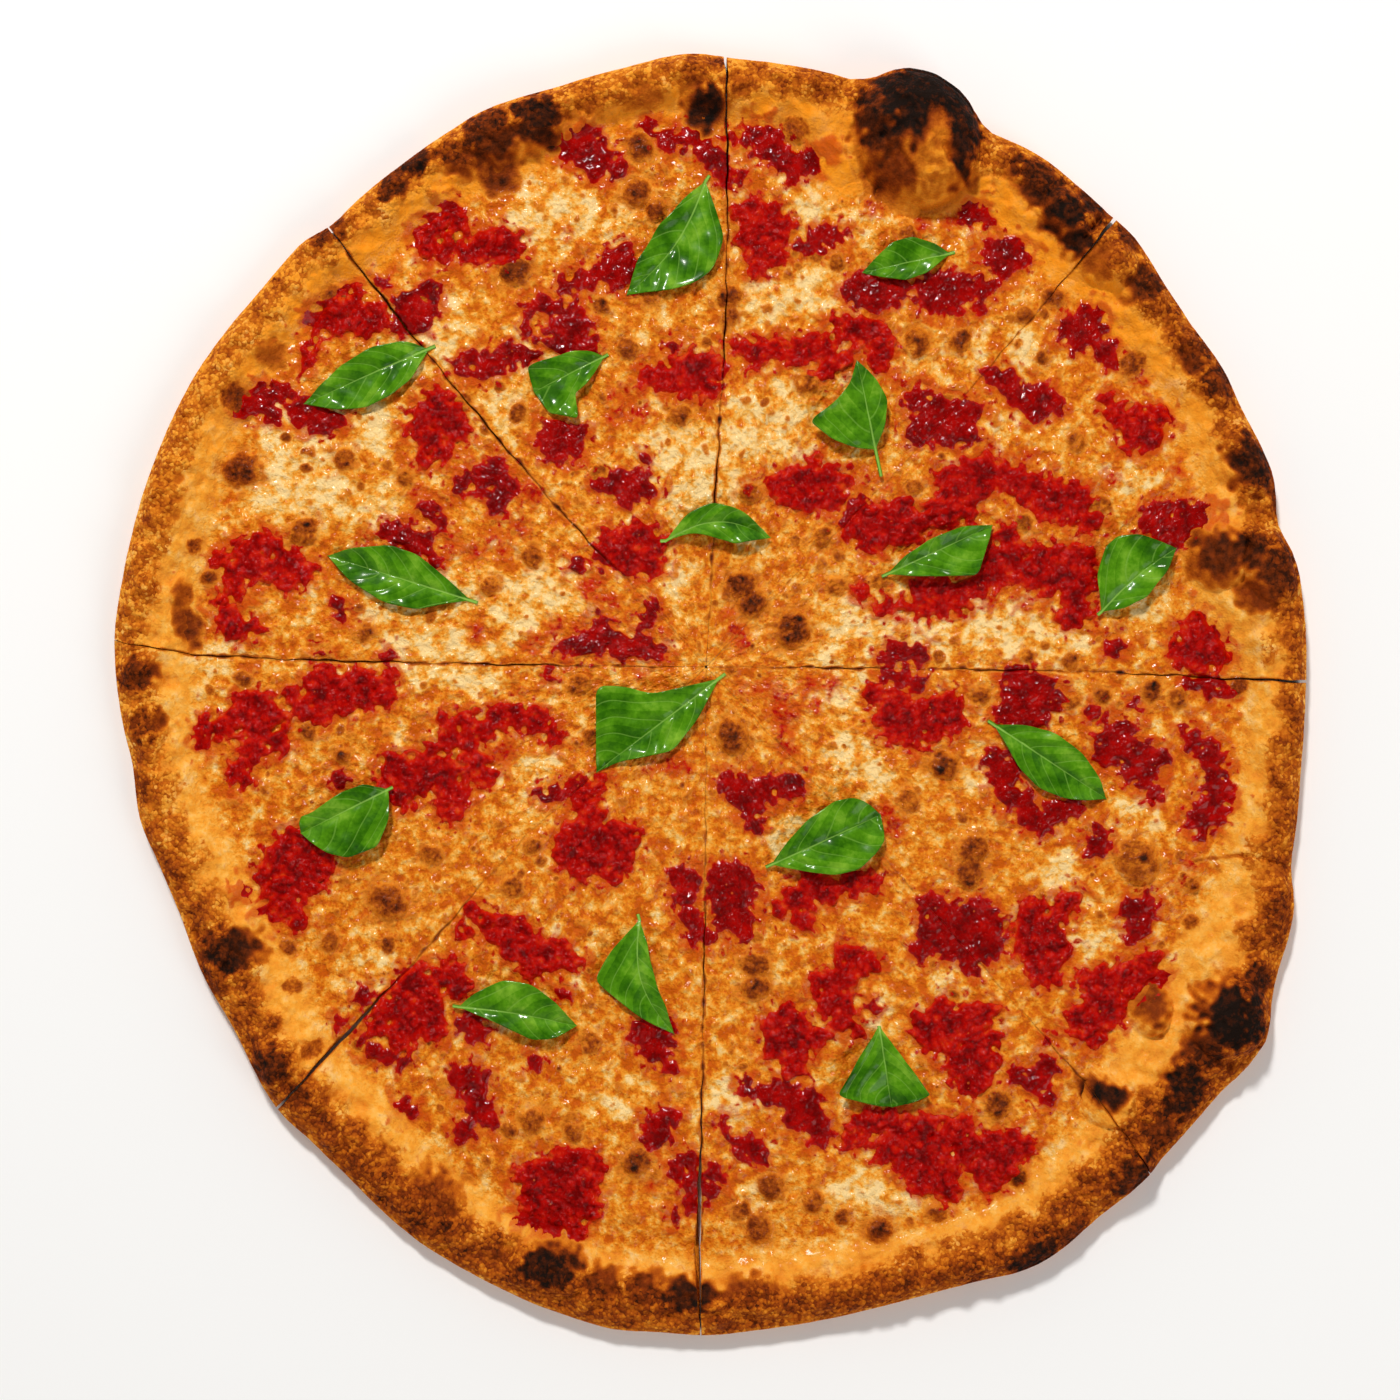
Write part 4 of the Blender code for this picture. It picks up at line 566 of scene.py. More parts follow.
# Each crack runs from x, y to x, y and has a half width and a strength.
CRACKS = (
    (131, 148, 136, 155, 1.6, 1.0), (136, 155, 141, 158, 1.4, 1.0), (141, 150, 137, 156, 1.3, 0.8),
    (169, -67, 185, -65, 0.9, 0.8), (185, -65, 202, -69, 0.8, 0.7), (135, -148, 140, -146, 2.2, 1.0),
    (48, 178, 53, 166, 1.0, 0.5), (53, 166, 65, 157, 1.0, 0.45), (96, 176, 100, 164, 1.0, 0.5),
    (66, 176, 70, 168, 0.9, 0.7), (70, 168, 78, 166, 0.8, 0.6), (60, 182, 64, 172, 0.8, 0.6),
    (80, 180, 84, 170, 0.8, 0.6), (112, 158, 122, 148, 1.0, 0.5), (160, 118, 166, 104, 0.9, 0.5),
    (184, 56, 192, 48, 1.0, 0.6), (184, 24, 186, 44, 1.0, 0.6), (166, -108, 172, -124, 1.1, 0.6),
    (-82, 186, -70, 178, 0.9, 0.5), (-50, 196, -40, 190, 0.9, 0.5), (-178, 20, -180, 6, 0.9, 0.5),
    (-140, -130, -146, -140, 0.9, 0.5), (-60, -200, -44, -204, 0.9, 0.5), (120, -184, 132, -182, 1.0, 0.5),
    (-158, -90, -166, -104, 0.9, 0.5), (-186, -24, -190, -36, 0.9, 0.4), (98, 170, 108, 166, 1.0, 0.5),
)
ELLIPSE_MARGIN = 3.0


def ellipse_away(x, y, half_length, half_width, turn, spread=1.0):
    """The window round an ellipse, and how far its places are out, with the outline at 1."""
    reach = max(half_length, half_width) * spread + ELLIPSE_MARGIN
    window = map_window(x - reach, x + reach, y - reach, y + reach)
    cosine, sine = math.cos(math.radians(turn)), math.sin(math.radians(turn))
    lengthwise = ((X[window] - x) * cosine + (Y[window] - y) * sine) / half_length
    crosswise = ((Y[window] - y) * cosine - (X[window] - x) * sine) / half_width
    return window, np.hypot(lengthwise, crosswise)


def ellipse_field(marks, soften, fraying=1.0):
    """The strongest of many soft-edged ellipses at each place, frayed by the swells."""
    field = np.zeros(X.shape)
    for *ellipse, strength in marks:
        window, away = ellipse_away(*ellipse, 1.0 + soften)
        away += fraying * (0.10 * swell_4[window] + 0.12 * swell_8[window])
        field[window] = np.maximum(field[window], strength * (1.0 - step(away, 1.0 - soften, 1.0 + soften)))
    return field


def stroke_field(strokes):
    """Soft-edged strokes, each x, y to x, y with a half width and a strength from 0 to 1."""
    field = np.zeros(X.shape)
    for x1, y1, x2, y2, half_width, strength in strokes:
        reach = 3 * half_width + ELLIPSE_MARGIN
        window = map_window(min(x1, x2) - reach, max(x1, x2) + reach,
                            min(y1, y2) - reach, max(y1, y2) + reach)
        run_x, run_y = x2 - x1, y2 - y1
        place = ((X[window] - x1) * run_x + (Y[window] - y1) * run_y) / (run_x ** 2 + run_y ** 2)
        place = np.clip(place, 0.0, 1.0)
        away = np.hypot(X[window] - x1 - place * run_x, Y[window] - y1 - place * run_y)
        away = away / half_width + 0.22 * swell_4[window]
        field[window] = np.maximum(field[window], strength * np.exp(-away * away))
    return field


def dome_field(marks):
    """The height of round-topped domes: each mark is x, y, half length, half width, turn, height."""
    field = np.zeros(X.shape)
    for *ellipse, height in marks:
        window, away = ellipse_away(*ellipse)
        dome = height * np.sqrt(np.clip(1.0 - away * away, 0.0, 1.0))
        field[window] = np.maximum(field[window], dome)
    return field


blister_marks = [(x, y, r, r * 0.85, 37.0 * n, dark) for n, (x, y, r, dark) in enumerate(BLISTERS)]
blister_core = ellipse_field([(x, y, r, half, turn, 0.4 + 0.36 * dark)
                              for x, y, r, half, turn, dark in blister_marks], 0.25, 0.5)
blister_heart = ellipse_field([(x, y, 0.6 * r, 0.5 * half, turn, dark ** 3)
                               for x, y, r, half, turn, dark in blister_marks], 0.5, 1.5)
blister_halo = ellipse_field([(x, y, 1.6 * r, 1.6 * half, turn, 0.5 + 0.5 * dark)
                              for x, y, r, half, turn, dark in blister_marks], 0.45)
blister_rise = dome_field([(x, y, r * 1.1, half * 1.1, turn, 0.4 * r)
                           for x, y, r, half, turn, _ in blister_marks])
blister_rise += 0.3 * np.abs(swell_3) * step(blister_core, 0.2, 0.5)
PALE_PATCH = (79, 178, 4, 9, 0, 1.0)
PUFF_SPREAD, PUFF_HEIGHT = 1.15, 1.9
burn = ellipse_field(BURNS, 0.45, 0.8) * (1.0 - 0.5 * ellipse_field((PALE_PATCH,), 0.7))
burn_domes = [(x, y, PUFF_SPREAD * length, PUFF_SPREAD * width, turn, PUFF_HEIGHT)
              for x, y, length, width, turn, _ in BURNS]
puff = (1.0 - step(dome_field(BUBBLES[:1]), 0.0, 6.0)) * dome_field(burn_domes)
cracks = stroke_field(CRACKS)
bubble_rise = dome_field(BUBBLES)
big_x, big_y, big_length, big_width, big_turn, _ = BUBBLES[0]
big_foot = dome_field(((big_x, big_y, 1.12 * big_length, 1.12 * big_width, big_turn, 1.0),))
# A ring round the foot of the big bubble; the toast below darkens it as painted shade along the bubble's
# lower edge.
bubble_foot_shade = step(big_foot, 0.0, 0.42) * step(big_foot, 0.66, 0.42)
print(len(BLISTERS), "blisters,", len(BURNS), "burns and", len(BUBBLES), "bubbles")

# %% [markdown]
# A scatter of small blisters and pits fills the cheese between the ones that were read off. They are
# random, with a fixed seed, so the pizza looks the same each time it is built.

# %% Small blisters and pits
SMALL_BLISTERS = 420
PITS = 500
PITS_FROM_RIM = 4.0
scatter = np.random.default_rng(5)


def scattered_place(from_rim=0.0):
    """A random place on the cheese, this far or further from the foot of the rim in mm."""
    angle = scatter.uniform(0.0, 360.0)
    distance = math.sqrt(scatter.random()) * (float(rim_foot(angle)) - from_rim)
    return distance * math.cos(math.radians(angle)), distance * math.sin(math.radians(angle))


small_marks = []
for _ in range(SMALL_BLISTERS):
    place = scattered_place()
    radius = 0.7 + 1.5 * scatter.random() ** 2.5
    small_marks.append((*place, radius * 1.2, radius, scatter.uniform(0, 180), scatter.uniform(0.35, 0.75)))
small_toast = ellipse_field(small_marks, 0.5)
small_rise = ellipse_field([(*mark[:5], 0.25 * mark[2]) for mark in small_marks], 0.6)
pit_marks = [(*scattered_place(PITS_FROM_RIM), scatter.uniform(0.6, 1.3), scatter.uniform(0.5, 1.0), 0.0, 1.0)
             for _ in range(PITS)]
pits = ellipse_field(pit_marks, 0.5)
print(len(small_marks), "small blisters and", len(pit_marks), "pits")

# %% [markdown]
# ## The heights
#
# The dough is 3.5 mm thick under the cheese and swells to about 12.5 mm at the rim. The rim's
# section is a short list of shares, smoothed so that it has no corners. The cheese lies on the dough
# and thins out up the foot of the rim, where it melts into it without a step.

# %% The height of the crust and of the cheese
DOUGH_FLOOR = 3.5
RIM_CREST = 12.5
CHEESE_TOP = 6.2
CHEESE_EDGE_TOP = 4.9
LAYER_GAP = 0.3
RIM_SECTION = (
    (0, 0), (0.06, 0.18), (0.2, 0.5), (0.38, 0.8), (0.6, 1.0), (0.8, 0.93), (0.94, 0.66), (1.0, 0.34),
)
SECTION_STEPS = 400
BLUR_REACH = 12

section_places = np.linspace(-0.1, 1.1, SECTION_STEPS)
section_shares = along(RIM_SECTION, section_places)
blur = np.hanning(2 * BLUR_REACH + 1)
section_shares = np.convolve(np.pad(section_shares, BLUR_REACH, mode="edge"), blur / blur.sum(), mode="valid")


def crest_height(angle):
    """The height of the rim between its bubbles, which is a little uneven."""
    turn = np.radians(angle)
    return RIM_CREST + 0.8 * np.sin(5 * turn + 0.7) + 0.6 * np.sin(11 * turn + 2.1)


def rim_height(angle, place):
    """The height of the rim's section at a share of the way from its foot to its edge."""
    share = np.interp(place, section_places, section_shares)
    return DOUGH_FLOOR + (crest_height(angle) - DOUGH_FLOOR) * share


PLACE = FROM_FOOT / WIDTH_THERE
edge_fade = step(FROM_EDGE, -0.5, 4.0)
rim_part = step(PLACE, 0.05, 0.3)
rim_relief = 0.6 * swell_16 + 0.42 * swell_8 + 0.2 * swell_4 + 0.08 * swell_2
crinkle = 0.22 * np.abs(swell_6) + 0.12 * np.abs(swell_3)
CRUST_HEIGHT = rim_height(ANGLE, PLACE) + bubble_rise * step(FROM_EDGE, -1.0, 3.5)
CRUST_HEIGHT += rim_part * edge_fade * (rim_relief - crinkle * step(burn, 0.3, 0.8))
CRUST_HEIGHT += (puff - 2.4 * cracks) * rim_part * edge_fade

cheese_share = step(-FROM_FOOT, 0.0, 14.0)
cheese_plain = CHEESE_EDGE_TOP + cheese_share * (
    CHEESE_TOP - CHEESE_EDGE_TOP + 0.25 * np.sin(X / 11.0 + 0.6) * np.sin(Y / 12.0 + 1.1))
cheese_relief = 0.5 * (shred_lumps - 0.6) * (0.5 + shred_tones) + 0.2 * swell_4 + 0.22 * swell_8
cheese_relief += 0.09 * swell_2 + 0.18 * swell_16
cheese_relief += blister_rise + small_rise - 0.5 * pits
dab_body = step(dab_depth + edge_fray, 0.0, 2.2) * np.maximum(step(CUT_AWAY, 0.0, 0.8), 1.0 - CUT_OPEN)
PULP_LEVEL = 0.48
pulp = 0.22 + 0.24 * np.abs(swell_6) + 0.14 * np.abs(swell_3) + 0.03 * swell_2 + 0.04 * pulp_lumps
CHEESE_HEIGHT = cheese_plain + cheese_relief * (1 - 0.5 * dab_body) + dab_body * (0.15 + 1.0 * pulp)
CHEESE_HEIGHT -= (0.08 + 0.47 * CUT_OPEN) * np.exp(-np.clip(CUT_AWAY, 0, 9) / 0.8) * (0.7 + 0.3 * swell_2)

FOOT_MELT = 0.9
SKIN = CHEESE_HEIGHT + step(large_depth + edge_fray, 0.0, 2.4) * (0.4 + 1.05 * pulp)
together = np.logaddexp(CHEESE_HEIGHT / FOOT_MELT, CRUST_HEIGHT / FOOT_MELT) * FOOT_MELT
up_the_foot = step(FROM_FOOT, -3.0, 0.0)
on_the_dough = step(FROM_FOOT, 1.0, 6.0)
TOP_HEIGHT = CHEESE_HEIGHT * (1 - up_the_foot) + together * up_the_foot
TOP_HEIGHT = TOP_HEIGHT * (1 - on_the_dough) + CRUST_HEIGHT * on_the_dough
CHEESE_FILM = TOP_HEIGHT + 0.1 - 0.9 * step(FROM_FOOT + 1.2 * swell_4, 3.0, 6.0)
print("the crest is", round(float(crest_height(ANGLE).max()), 1), "mm high at most between bubbles")

# %% [markdown]
# ## The finishes
#
# Three sets of marks steer the colours. Baking says how toasted, how burnt and how grainy a place
# is, and its toast also holds painted shade: a darker south side of the crust, a dark ring at the
# foot of the big bubble and darkened cracks. Topping says how creamy the cheese is, how much orange
# oil has stained it and how much sauce lies on it. Ground says where the dough is bare, where the
# surface has blistered, and where the dough of the northern rim is amber: partly its own oily colour
# and partly painted light that brightens the slope lying in the key light's shade. The marks are
# written on each piece's corners, and the materials read them there.

# %% Marks for baking, topping and ground
CREAMY = (
    (-62, 153, 6, 1), (-95, 116, 11, 1), (-65, 105, 6, 1), (-70, 90, 7, 1), (-115, 85, 8, 1),
    (-141, 71, 14, 1), (-133, 60, 10, 1), (-148, 82, 8, 1), (-115, 55, 7, 1), (-112, 20, 7, 1),
    (-105, 5, 8, 1), (-85, 0, 9, 1), (-88, 28, 8, 1), (-56, 27, 10, 1), (-66, 19, 8, 1),
    (-170, 3, 8, 0.8), (-181, -20, 8, 1), (-176, -6, 7, 1), (-185, -45, 8, 0.9), (-15, 75, 9, 1),
    (0, 70, 10, 1), (15, 82, 10, 1), (27, 90, 8, 1), (32, 76, 7, 1), (2, 60, 8, 1), (50, 18, 7, 1),
    (62, 13, 9, 1), (78, 12, 8, 1), (96, 14, 8, 1), (110, 12, 9, 1), (122, 9, 8, 1),
    (22, 126, 8, 1), (38, 130, 7, 1), (75, 106, 5, 0.8), (92, 110, 5, 0.8), (110, 110, 6, 1),
    (-30, 155, 5, 0.8), (-46, 157, 8, 1), (-60, 166, 6, 0.8), (36, 164, 8, 1), (52, 152, 6, 0.8),
    (146, 66, 6, 0.8), (150, 22, 7, 0.8), (45, -10, 7, 1), (50, -31, 7, 1), (58, -38, 6, 1),
    (95, -38, 5, 0.8), (9, -149, 7, 1), (16, -184, 5, 1), (52, -181, 8, 1), (64, -188, 6, 0.9),
    (85, -108, 6, 0.7), (123, -72, 7, 0.8), (150, -52, 7, 0.8), (135, -94, 7, 0.8),
    (-60, -38, 7, 0.8), (-22, -22, 7, 0.7), (16, 45, 5, 0.8), (40, 5, 6, 0.8), (-92, 12, 7, 0.8),
    (-150, 60, 8, 1), (70, 75, 4, 0.7), (104, 83, 5, 0.8), (-10, 30, 6, 0.8), (-8, 60, 7, 0.9),
    (60, -120, 6, 0.6), (28, -60, 7, 0.7), (-115, -105, 9, 0.6), (-30, -150, 7, 0.6),
)
creamy_places = ellipse_field([(x, y, r * 1.25, r * 1.05, 30.0 * n, strength)
                               for n, (x, y, r, strength) in enumerate(CREAMY)], 0.5)
crumble = step(FROM_FOOT, -6.0, 4.0)
cream = 0.34 + 0.5 * creamy_places + 0.13 * swell_12 + 0.12 * swell_6 + 0.3 * (shred_lumps - 0.66)
cream = np.clip(cream * (1 - crumble) + (0.5 + 0.08 * swell_16 + 0.06 * swell_6) * crumble, 0.0, 1.0)

sauce_reach = np.maximum(large_depth, dab_depth)
stain = step(sauce_reach + 1.6 * swell_8 + 1.0 * swell_4, -5.5, 1.0) * 0.9
stain = np.maximum(stain, 0.8 * step(blush_depth + 0.8 * swell_4 + 0.6 * swell_2, -3.0, 2.5))
sauce_mark = step(dab_depth + edge_fray, -0.3, 1.6)
sauce_mark = np.maximum(sauce_mark, 0.9 * step(large_depth + edge_fray, -0.3, 1.2))
sauce_mark = np.maximum(sauce_mark, 0.45 * step(blush_depth + fray, 0.5, 3.0))
stray_bits = step(0.8 * swell_4 + 0.7 * swell_6 + 0.35 * swell_2 + 0.3 * sauce_reach, 0.1, 1.0)
sauce_mark = np.maximum(sauce_mark, 0.5 * stray_bits * step(sauce_reach, -6.0, -3.0))
stain = np.maximum(stain, 0.9 * stray_bits)

grain_start = around(((0, 11), (20, 12), (45, 12), (62, 14), (90, 12), (120, 12), (150, 12), (180, 14),
                      (200, 15), (225, 17), (240, 19), (260, 18), (275, 15), (295, 17), (310, 20),
                      (330, 17), (345, 12)), ANGLE)
band = step(grain_start - FROM_EDGE + 1.6 * swell_16 + 1.0 * swell_8 + 0.6 * swell_3, -5.0, 4.0) * rim_part
band_heat = around(((0, 0.24), (30, 0.24), (75, 0.2), (100, 0.12), (130, 0.12), (160, 0.14), (185, 0.16),
                    (215, 0.24), (240, 0.3), (270, 0.25), (300, 0.27), (325, 0.3), (345, 0.26)), ANGLE)
northward = np.sin(np.radians(ANGLE))
# Painted shade: the last term toasts the south side darker, where the rim's inner slope faces the key light
# and catches more of it.
golden_and_south_shade = 0.04 + 0.16 * step(PLACE, 0.1, 0.75) + 0.08 * np.clip(-northward, 0.0, 1.0)
toast_and_painted_shade = golden_and_south_shade * crumble + band_heat * band + 0.025 * band * (swell_6 + swell_12) + 0.04 * crumble * swell_12
toast_and_painted_shade = np.where(FROM_EDGE < 2.5, toast_and_painted_shade * (0.55 + 0.45 * step(FROM_EDGE, 0.0, 2.5)), toast_and_painted_shade)
char = 0.55 * burn ** 0.7 + 0.42 * burn ** 3 + 0.03 * burn * (swell_3 + swell_6)
toast_and_painted_shade = np.maximum(toast_and_painted_shade, char)
toast_and_painted_shade = np.maximum(toast_and_painted_shade, 0.3 * blister_halo)
blister_mottle = 0.05 * swell_2 * step(blister_core, 0.2, 0.5)
toast_and_painted_shade = np.maximum(toast_and_painted_shade, 0.8 * blister_core + 0.22 * blister_heart + blister_mottle)
toast_and_painted_shade = np.maximum(toast_and_painted_shade, small_toast * 0.72)
cut_toast = (0.4 + 0.12 * swell_6) * (0.25 + 0.75 * CUT_OPEN) * np.exp(-np.clip(CUT_AWAY, 0, 9) / 0.4)
toast_and_painted_shade = np.maximum(toast_and_painted_shade, cut_toast)
blotches = step(swell_8 + 0.6 * swell_4, 1.0, 2.4)
toast_and_painted_shade += (1 - crumble) * (0.05 * swell_6 + 0.04 * swell_4 + 0.02 + 0.22 * blotches)
# Painted shade: the cracks are darkened as well as sunk, for the shade that falls into them.
toast_and_painted_shade = np.maximum(toast_and_painted_shade, 0.62 * cracks)
# Painted shade: the dark ring at the foot of the big bubble.
toast_and_painted_shade = np.maximum(toast_and_painted_shade, 0.4 * bubble_foot_shade)
toast_and_painted_shade = np.maximum(toast_and_painted_shade, (0.3 + 0.05 * swell_6 + 0.04 * swell_3) * step(big_foot, 0.4, 0.6))
grain = band * (1 - 0.55 * step(burn, 0.7, 0.95))
# The first baking mark holds browning and also painted shade: the darker south of the crust, the dark ring at
# the foot of the big bubble and the darkened cracks.
BAKING = np.stack([np.clip(toast_and_painted_shade, 0, 1), np.clip(burn, 0, 1), np.clip(grain, 0, 1)], axis=-1)
TOPPING = np.stack([cream, np.clip(stain, 0, 1), np.clip(sauce_mark, 0, 1)], axis=-1)
bare_dough = step(FROM_FOOT, -3.0, 4.0)
blistered = np.maximum(step(blister_core, 0.1, 0.5), 0.8 * step(small_toast, 0.2, 0.6))
# Partly the oily amber of the northern inner rim and partly painted light: it brightens the slope that faces
# away from the key light and lies in its shade.
amber_and_painted_light = crumble * step(northward, 0.2, 0.7) * (1 - 0.5 * band)
GROUND = np.stack([bare_dough, blistered, amber_and_painted_light], axis=-1)
print("creamy places:", len(CREAMY))

# %% [markdown]
# ## From a flat grid to a piece
#
# Every large piece starts as Blender's plain grid, is bent into place corner by corner and is then
# closed in edit mode. The next helpers add such a grid, read where its corners are and move them,
# because that is the same for crusts, cheese, sauce and leaves.

# %% Grid helpers
def flat_grid(name, across, outward):
    """Add a grid, two metres wide, with this many squares each way."""
    bpy.ops.object.select_all(action="DESELECT")
    bpy.ops.mesh.primitive_grid_add(x_subdivisions=across, y_subdivisions=outward, size=2.0)
    piece = bpy.context.object
    piece.name = name
    piece.data.name = name
    return piece


def corners(piece):
    """All corners of a piece, one row each."""
    places = np.empty(len(piece.data.vertices) * 3)
    piece.data.vertices.foreach_get("co", places)
    return places.reshape(-1, 3)


def move_corners(piece, places):
    """Put all corners of a piece at new places."""
    piece.data.vertices.foreach_set("co", np.ascontiguousarray(places).reshape(-1))
    piece.data.update()


def to_pizza(x, y, z):
    """From millimetres measured where the cuts meet to metres in the pizza's own frame."""
    return np.stack([(x + CUTS_MEET[0]) * MM, (y + CUTS_MEET[1]) * MM, z * MM], axis=-1)


def from_pizza(places):
    """The way back: millimetres in plan and in height."""
    return places[:, 0] / MM - CUTS_MEET[0], places[:, 1] / MM - CUTS_MEET[1], places[:, 2] / MM


def edit(piece, select="DESELECT"):
    """Open a piece in edit mode with nothing or everything selected."""
    bpy.ops.object.select_all(action="DESELECT")
    piece.select_set(True)
    bpy.context.view_layer.objects.active = piece
    bpy.ops.object.mode_set(mode="EDIT")
    bpy.ops.mesh.select_mode(type="VERT")
    bpy.ops.mesh.select_all(action=select)


def finish_edit():
    """Leave edit mode."""
    bpy.ops.object.mode_set(mode="OBJECT")


def face_outwards():
    """Turn all faces of the piece in edit mode outwards, and leave edit mode."""
    bpy.ops.mesh.select_all(action="SELECT")
    bpy.ops.mesh.normals_make_consistent(inside=False)
    finish_edit()


def select_open_edges():
    """Select the edges where a skin ends."""
    bpy.ops.mesh.select_non_manifold(
        extend=False, use_wire=False, use_boundary=True, use_multi_face=False, use_non_contiguous=False,
        use_verts=False)


def write_marks(piece, name, values):
    """Write three marks for each corner under a name that a material reads."""
    layer = piece.data.color_attributes.new(name, "FLOAT_COLOR", "POINT")
    colours = np.ones((len(values), 4))
    colours[:, :values.shape[1]] = values
    layer.data.foreach_set("color", colours.reshape(-1))


def read_marks(marks, x, y):
    """Read one of the three-part maps at the corners."""
    return np.stack([read_map(marks[:, :, part], x, y) for part in range(marks.shape[2])], axis=-1)


# %% [markdown]
# ## The crusts
#
# A crust is one closed skin: from the tip under the cheese out to the rim, over it, down its outer
# side and back along the flat base. The grid's rows follow that loop and its columns run across the
# slice. First and last row meet at the tip, where they are merged, and the two cut faces are filled.

# %% Shape the crusts
CRUST_COLUMNS = 230
RIM_ROWS = 78
SIDE_ROWS = 12
CUT_LEAN = 0.24
MIDWAY = 195.0
SHOULDER = 0.955
TUCK, TUCK_START = 0.055, 0.72
DOUBLE_DISTANCE = 0.00002


def plan_place(index, share, distance_at, lean=0.0):
    """Places in plan at shares of the way across a slice, at a distance that depends on the angle."""
    angle = slice_angle(index, share, MIDWAY, lean)
    for _ in range(2):
        distance = distance_at(angle)
        angle = slice_angle(index, share, distance, lean)
    return distance * np.cos(np.radians(angle)), distance * np.sin(np.radians(angle))


def crust_rows():
    """The loop of a crust's section: what kind of row each one is, and where it lies."""
    rows = [("tip", DOUGH_FLOOR)] + [("floor", level) for level in (0.3, 0.6, 0.85, 0.97)]
    rows += [("rim", place) for place in np.linspace(0.0, SHOULDER, RIM_ROWS)]
    rows += [("side", part) for part in np.linspace(0.08, 1.0, SIDE_ROWS)]
    rows += [("base", level) for level in (0.8, 0.5, 0.2)]
    rows.append(("tip", 0.0))
    return rows


def crust_row(index, share, kind, value):
    """Where one row of a crust's corners stands."""
    level = np.ones(share.shape)

    def on_rim(part):
        """Places in plan at a share of the way across the rim."""
        return plan_place(
            index, share, lambda angle: rim_foot(angle) + part * around(RIM_WIDTH, angle), CUT_LEAN)

    if kind == "tip":
        distance, angle = slice_tip(index)
        there = distance * level
        return there * math.cos(math.radians(angle)), there * math.sin(math.radians(angle)), value * level
    if kind == "floor":
        x, y = plan_place(index, share, lambda angle: value * rim_foot(angle), CUT_LEAN)
        return x, y, DOUGH_FLOOR * level
    if kind == "base":
        x, y = plan_place(index, share, lambda angle: value * around(REACH, angle), CUT_LEAN)
        return x, y, 0.0 * level
    if kind == "rim":
        x, y = on_rim(value)
        return x, y, read_map(CRUST_HEIGHT, x, y)
    turn = value * math.pi
    x, y = on_rim(SHOULDER - TUCK * step(value, TUCK_START, 1.0) + (1.0 - SHOULDER) * math.sin(turn) ** 0.8)
    top = read_map(CRUST_HEIGHT, *on_rim(SHOULDER))
    return x, y, top * (0.5 + 0.5 * math.cos(turn))


def shape_crust(index):
    """One slice's crust, closed all round."""
    rows = crust_rows()
    piece = flat_grid(f"dressed_crust_{index + 1}", CRUST_COLUMNS, len(rows) - 1)
    flat = corners(piece)
    share = (flat[:, 0] + 1) / 2
    row_of = np.round((flat[:, 1] + 1) / 2 * (len(rows) - 1)).astype(int)
    places = np.zeros_like(flat)
    for number, (kind, value) in enumerate(rows):
        these = row_of == number
        places[these] = to_pizza(*crust_row(index, share[these], kind, value))
    move_corners(piece, places)
    edit(piece, "SELECT")
    bpy.ops.mesh.remove_doubles(threshold=DOUBLE_DISTANCE)
    bpy.ops.mesh.select_all(action="DESELECT")
    select_open_edges()
    bpy.ops.mesh.fill_holes(sides=0)
    face_outwards()
    return piece


crusts = [shape_crust(index) for index in range(len(CUTS))]
print("a crust has", len(crusts[0].data.polygons), "faces")

# %% [markdown]
# ## The cheese
#
# A layer of cheese is a grid bent into the wedge of its slice, with its heights read off the map.
# It runs a few millimetres up the foot of the rim, where it dips under the dough's own surface, so
# that no edge shows. Its outline is then extruded down to the dough and closed with one face.

# %% Shape the cheese
CHEESE_COLUMNS = 220
CHEESE_ROWS = 290
FILM_REACH = 5.5


def shape_cheese(index):
    """One slice's layer of cheese, closed underneath."""
    piece = flat_grid(f"dressed_cheese_{index + 1}", CHEESE_COLUMNS, CHEESE_ROWS)
    flat = corners(piece)
    share = (flat[:, 0] + 1) / 2
    outward = (flat[:, 1] + 1) / 2
    tip_distance, _ = slice_tip(index)
    x, y = plan_place(index, share, lambda angle: (
        tip_distance + (rim_foot(angle) + FILM_REACH - tip_distance) * outward), CUT_LEAN)
    move_corners(piece, to_pizza(x, y, read_map(CHEESE_FILM, x, y)))
    top_corners = len(piece.data.vertices)
    edit(piece)
    select_open_edges()
    bpy.ops.mesh.extrude_region_move(TRANSFORM_OT_translate={"value": (0, 0, -MM)})
    bpy.ops.mesh.edge_face_add()
    finish_edit()
    places = corners(piece)
    places[top_corners:, 2] = (DOUGH_FLOOR + LAYER_GAP) * MM
    move_corners(piece, places)
    edit(piece)
    face_outwards()
    return piece


cheeses = [shape_cheese(index) for index in range(len(CUTS))]
print("a layer of cheese has", len(cheeses[0].data.polygons), "faces")

# %% [markdown]
# ## The dollops of sauce
#
# A dollop is a patch of a fine grid. Where its outline ends, its surface slips just under the
# cheese, so the edge that shows is as ragged as the two surfaces. It is then extruded downwards to
# become a solid with a skin all round.

# %% Shape the dollops
SAUCE_SPACING = 0.5
SAUCE_DEPTH = 0.4
PATCH_MARGIN = 4.0
SLIPPED_UNDER = -0.7
HEART_DEPTH = 1.5


def inside_slice(index, x, y):
    """How far places lie inside a slice, measured from its two cuts, in mm."""
    distance = np.hypot(x, y)
    first = slice_angle(index, 0.0, distance, CUT_LEAN)
    second = slice_angle(index, 1.0, distance, CUT_LEAN)
    away = (np.degrees(np.arctan2(y, x)) - (first + second) / 2 + 180.0) % 360.0 - 180.0
    return ((second - first) / 2 - np.abs(away)) * math.radians(1.0) * distance


def cut_slope(x, y):
    """How steeply sauce ends at a cut: hardly pressed down where the cut has melted shut."""
    return 1.6 + 9.0 * (1.0 - read_map(CUT_OPEN, x, y))


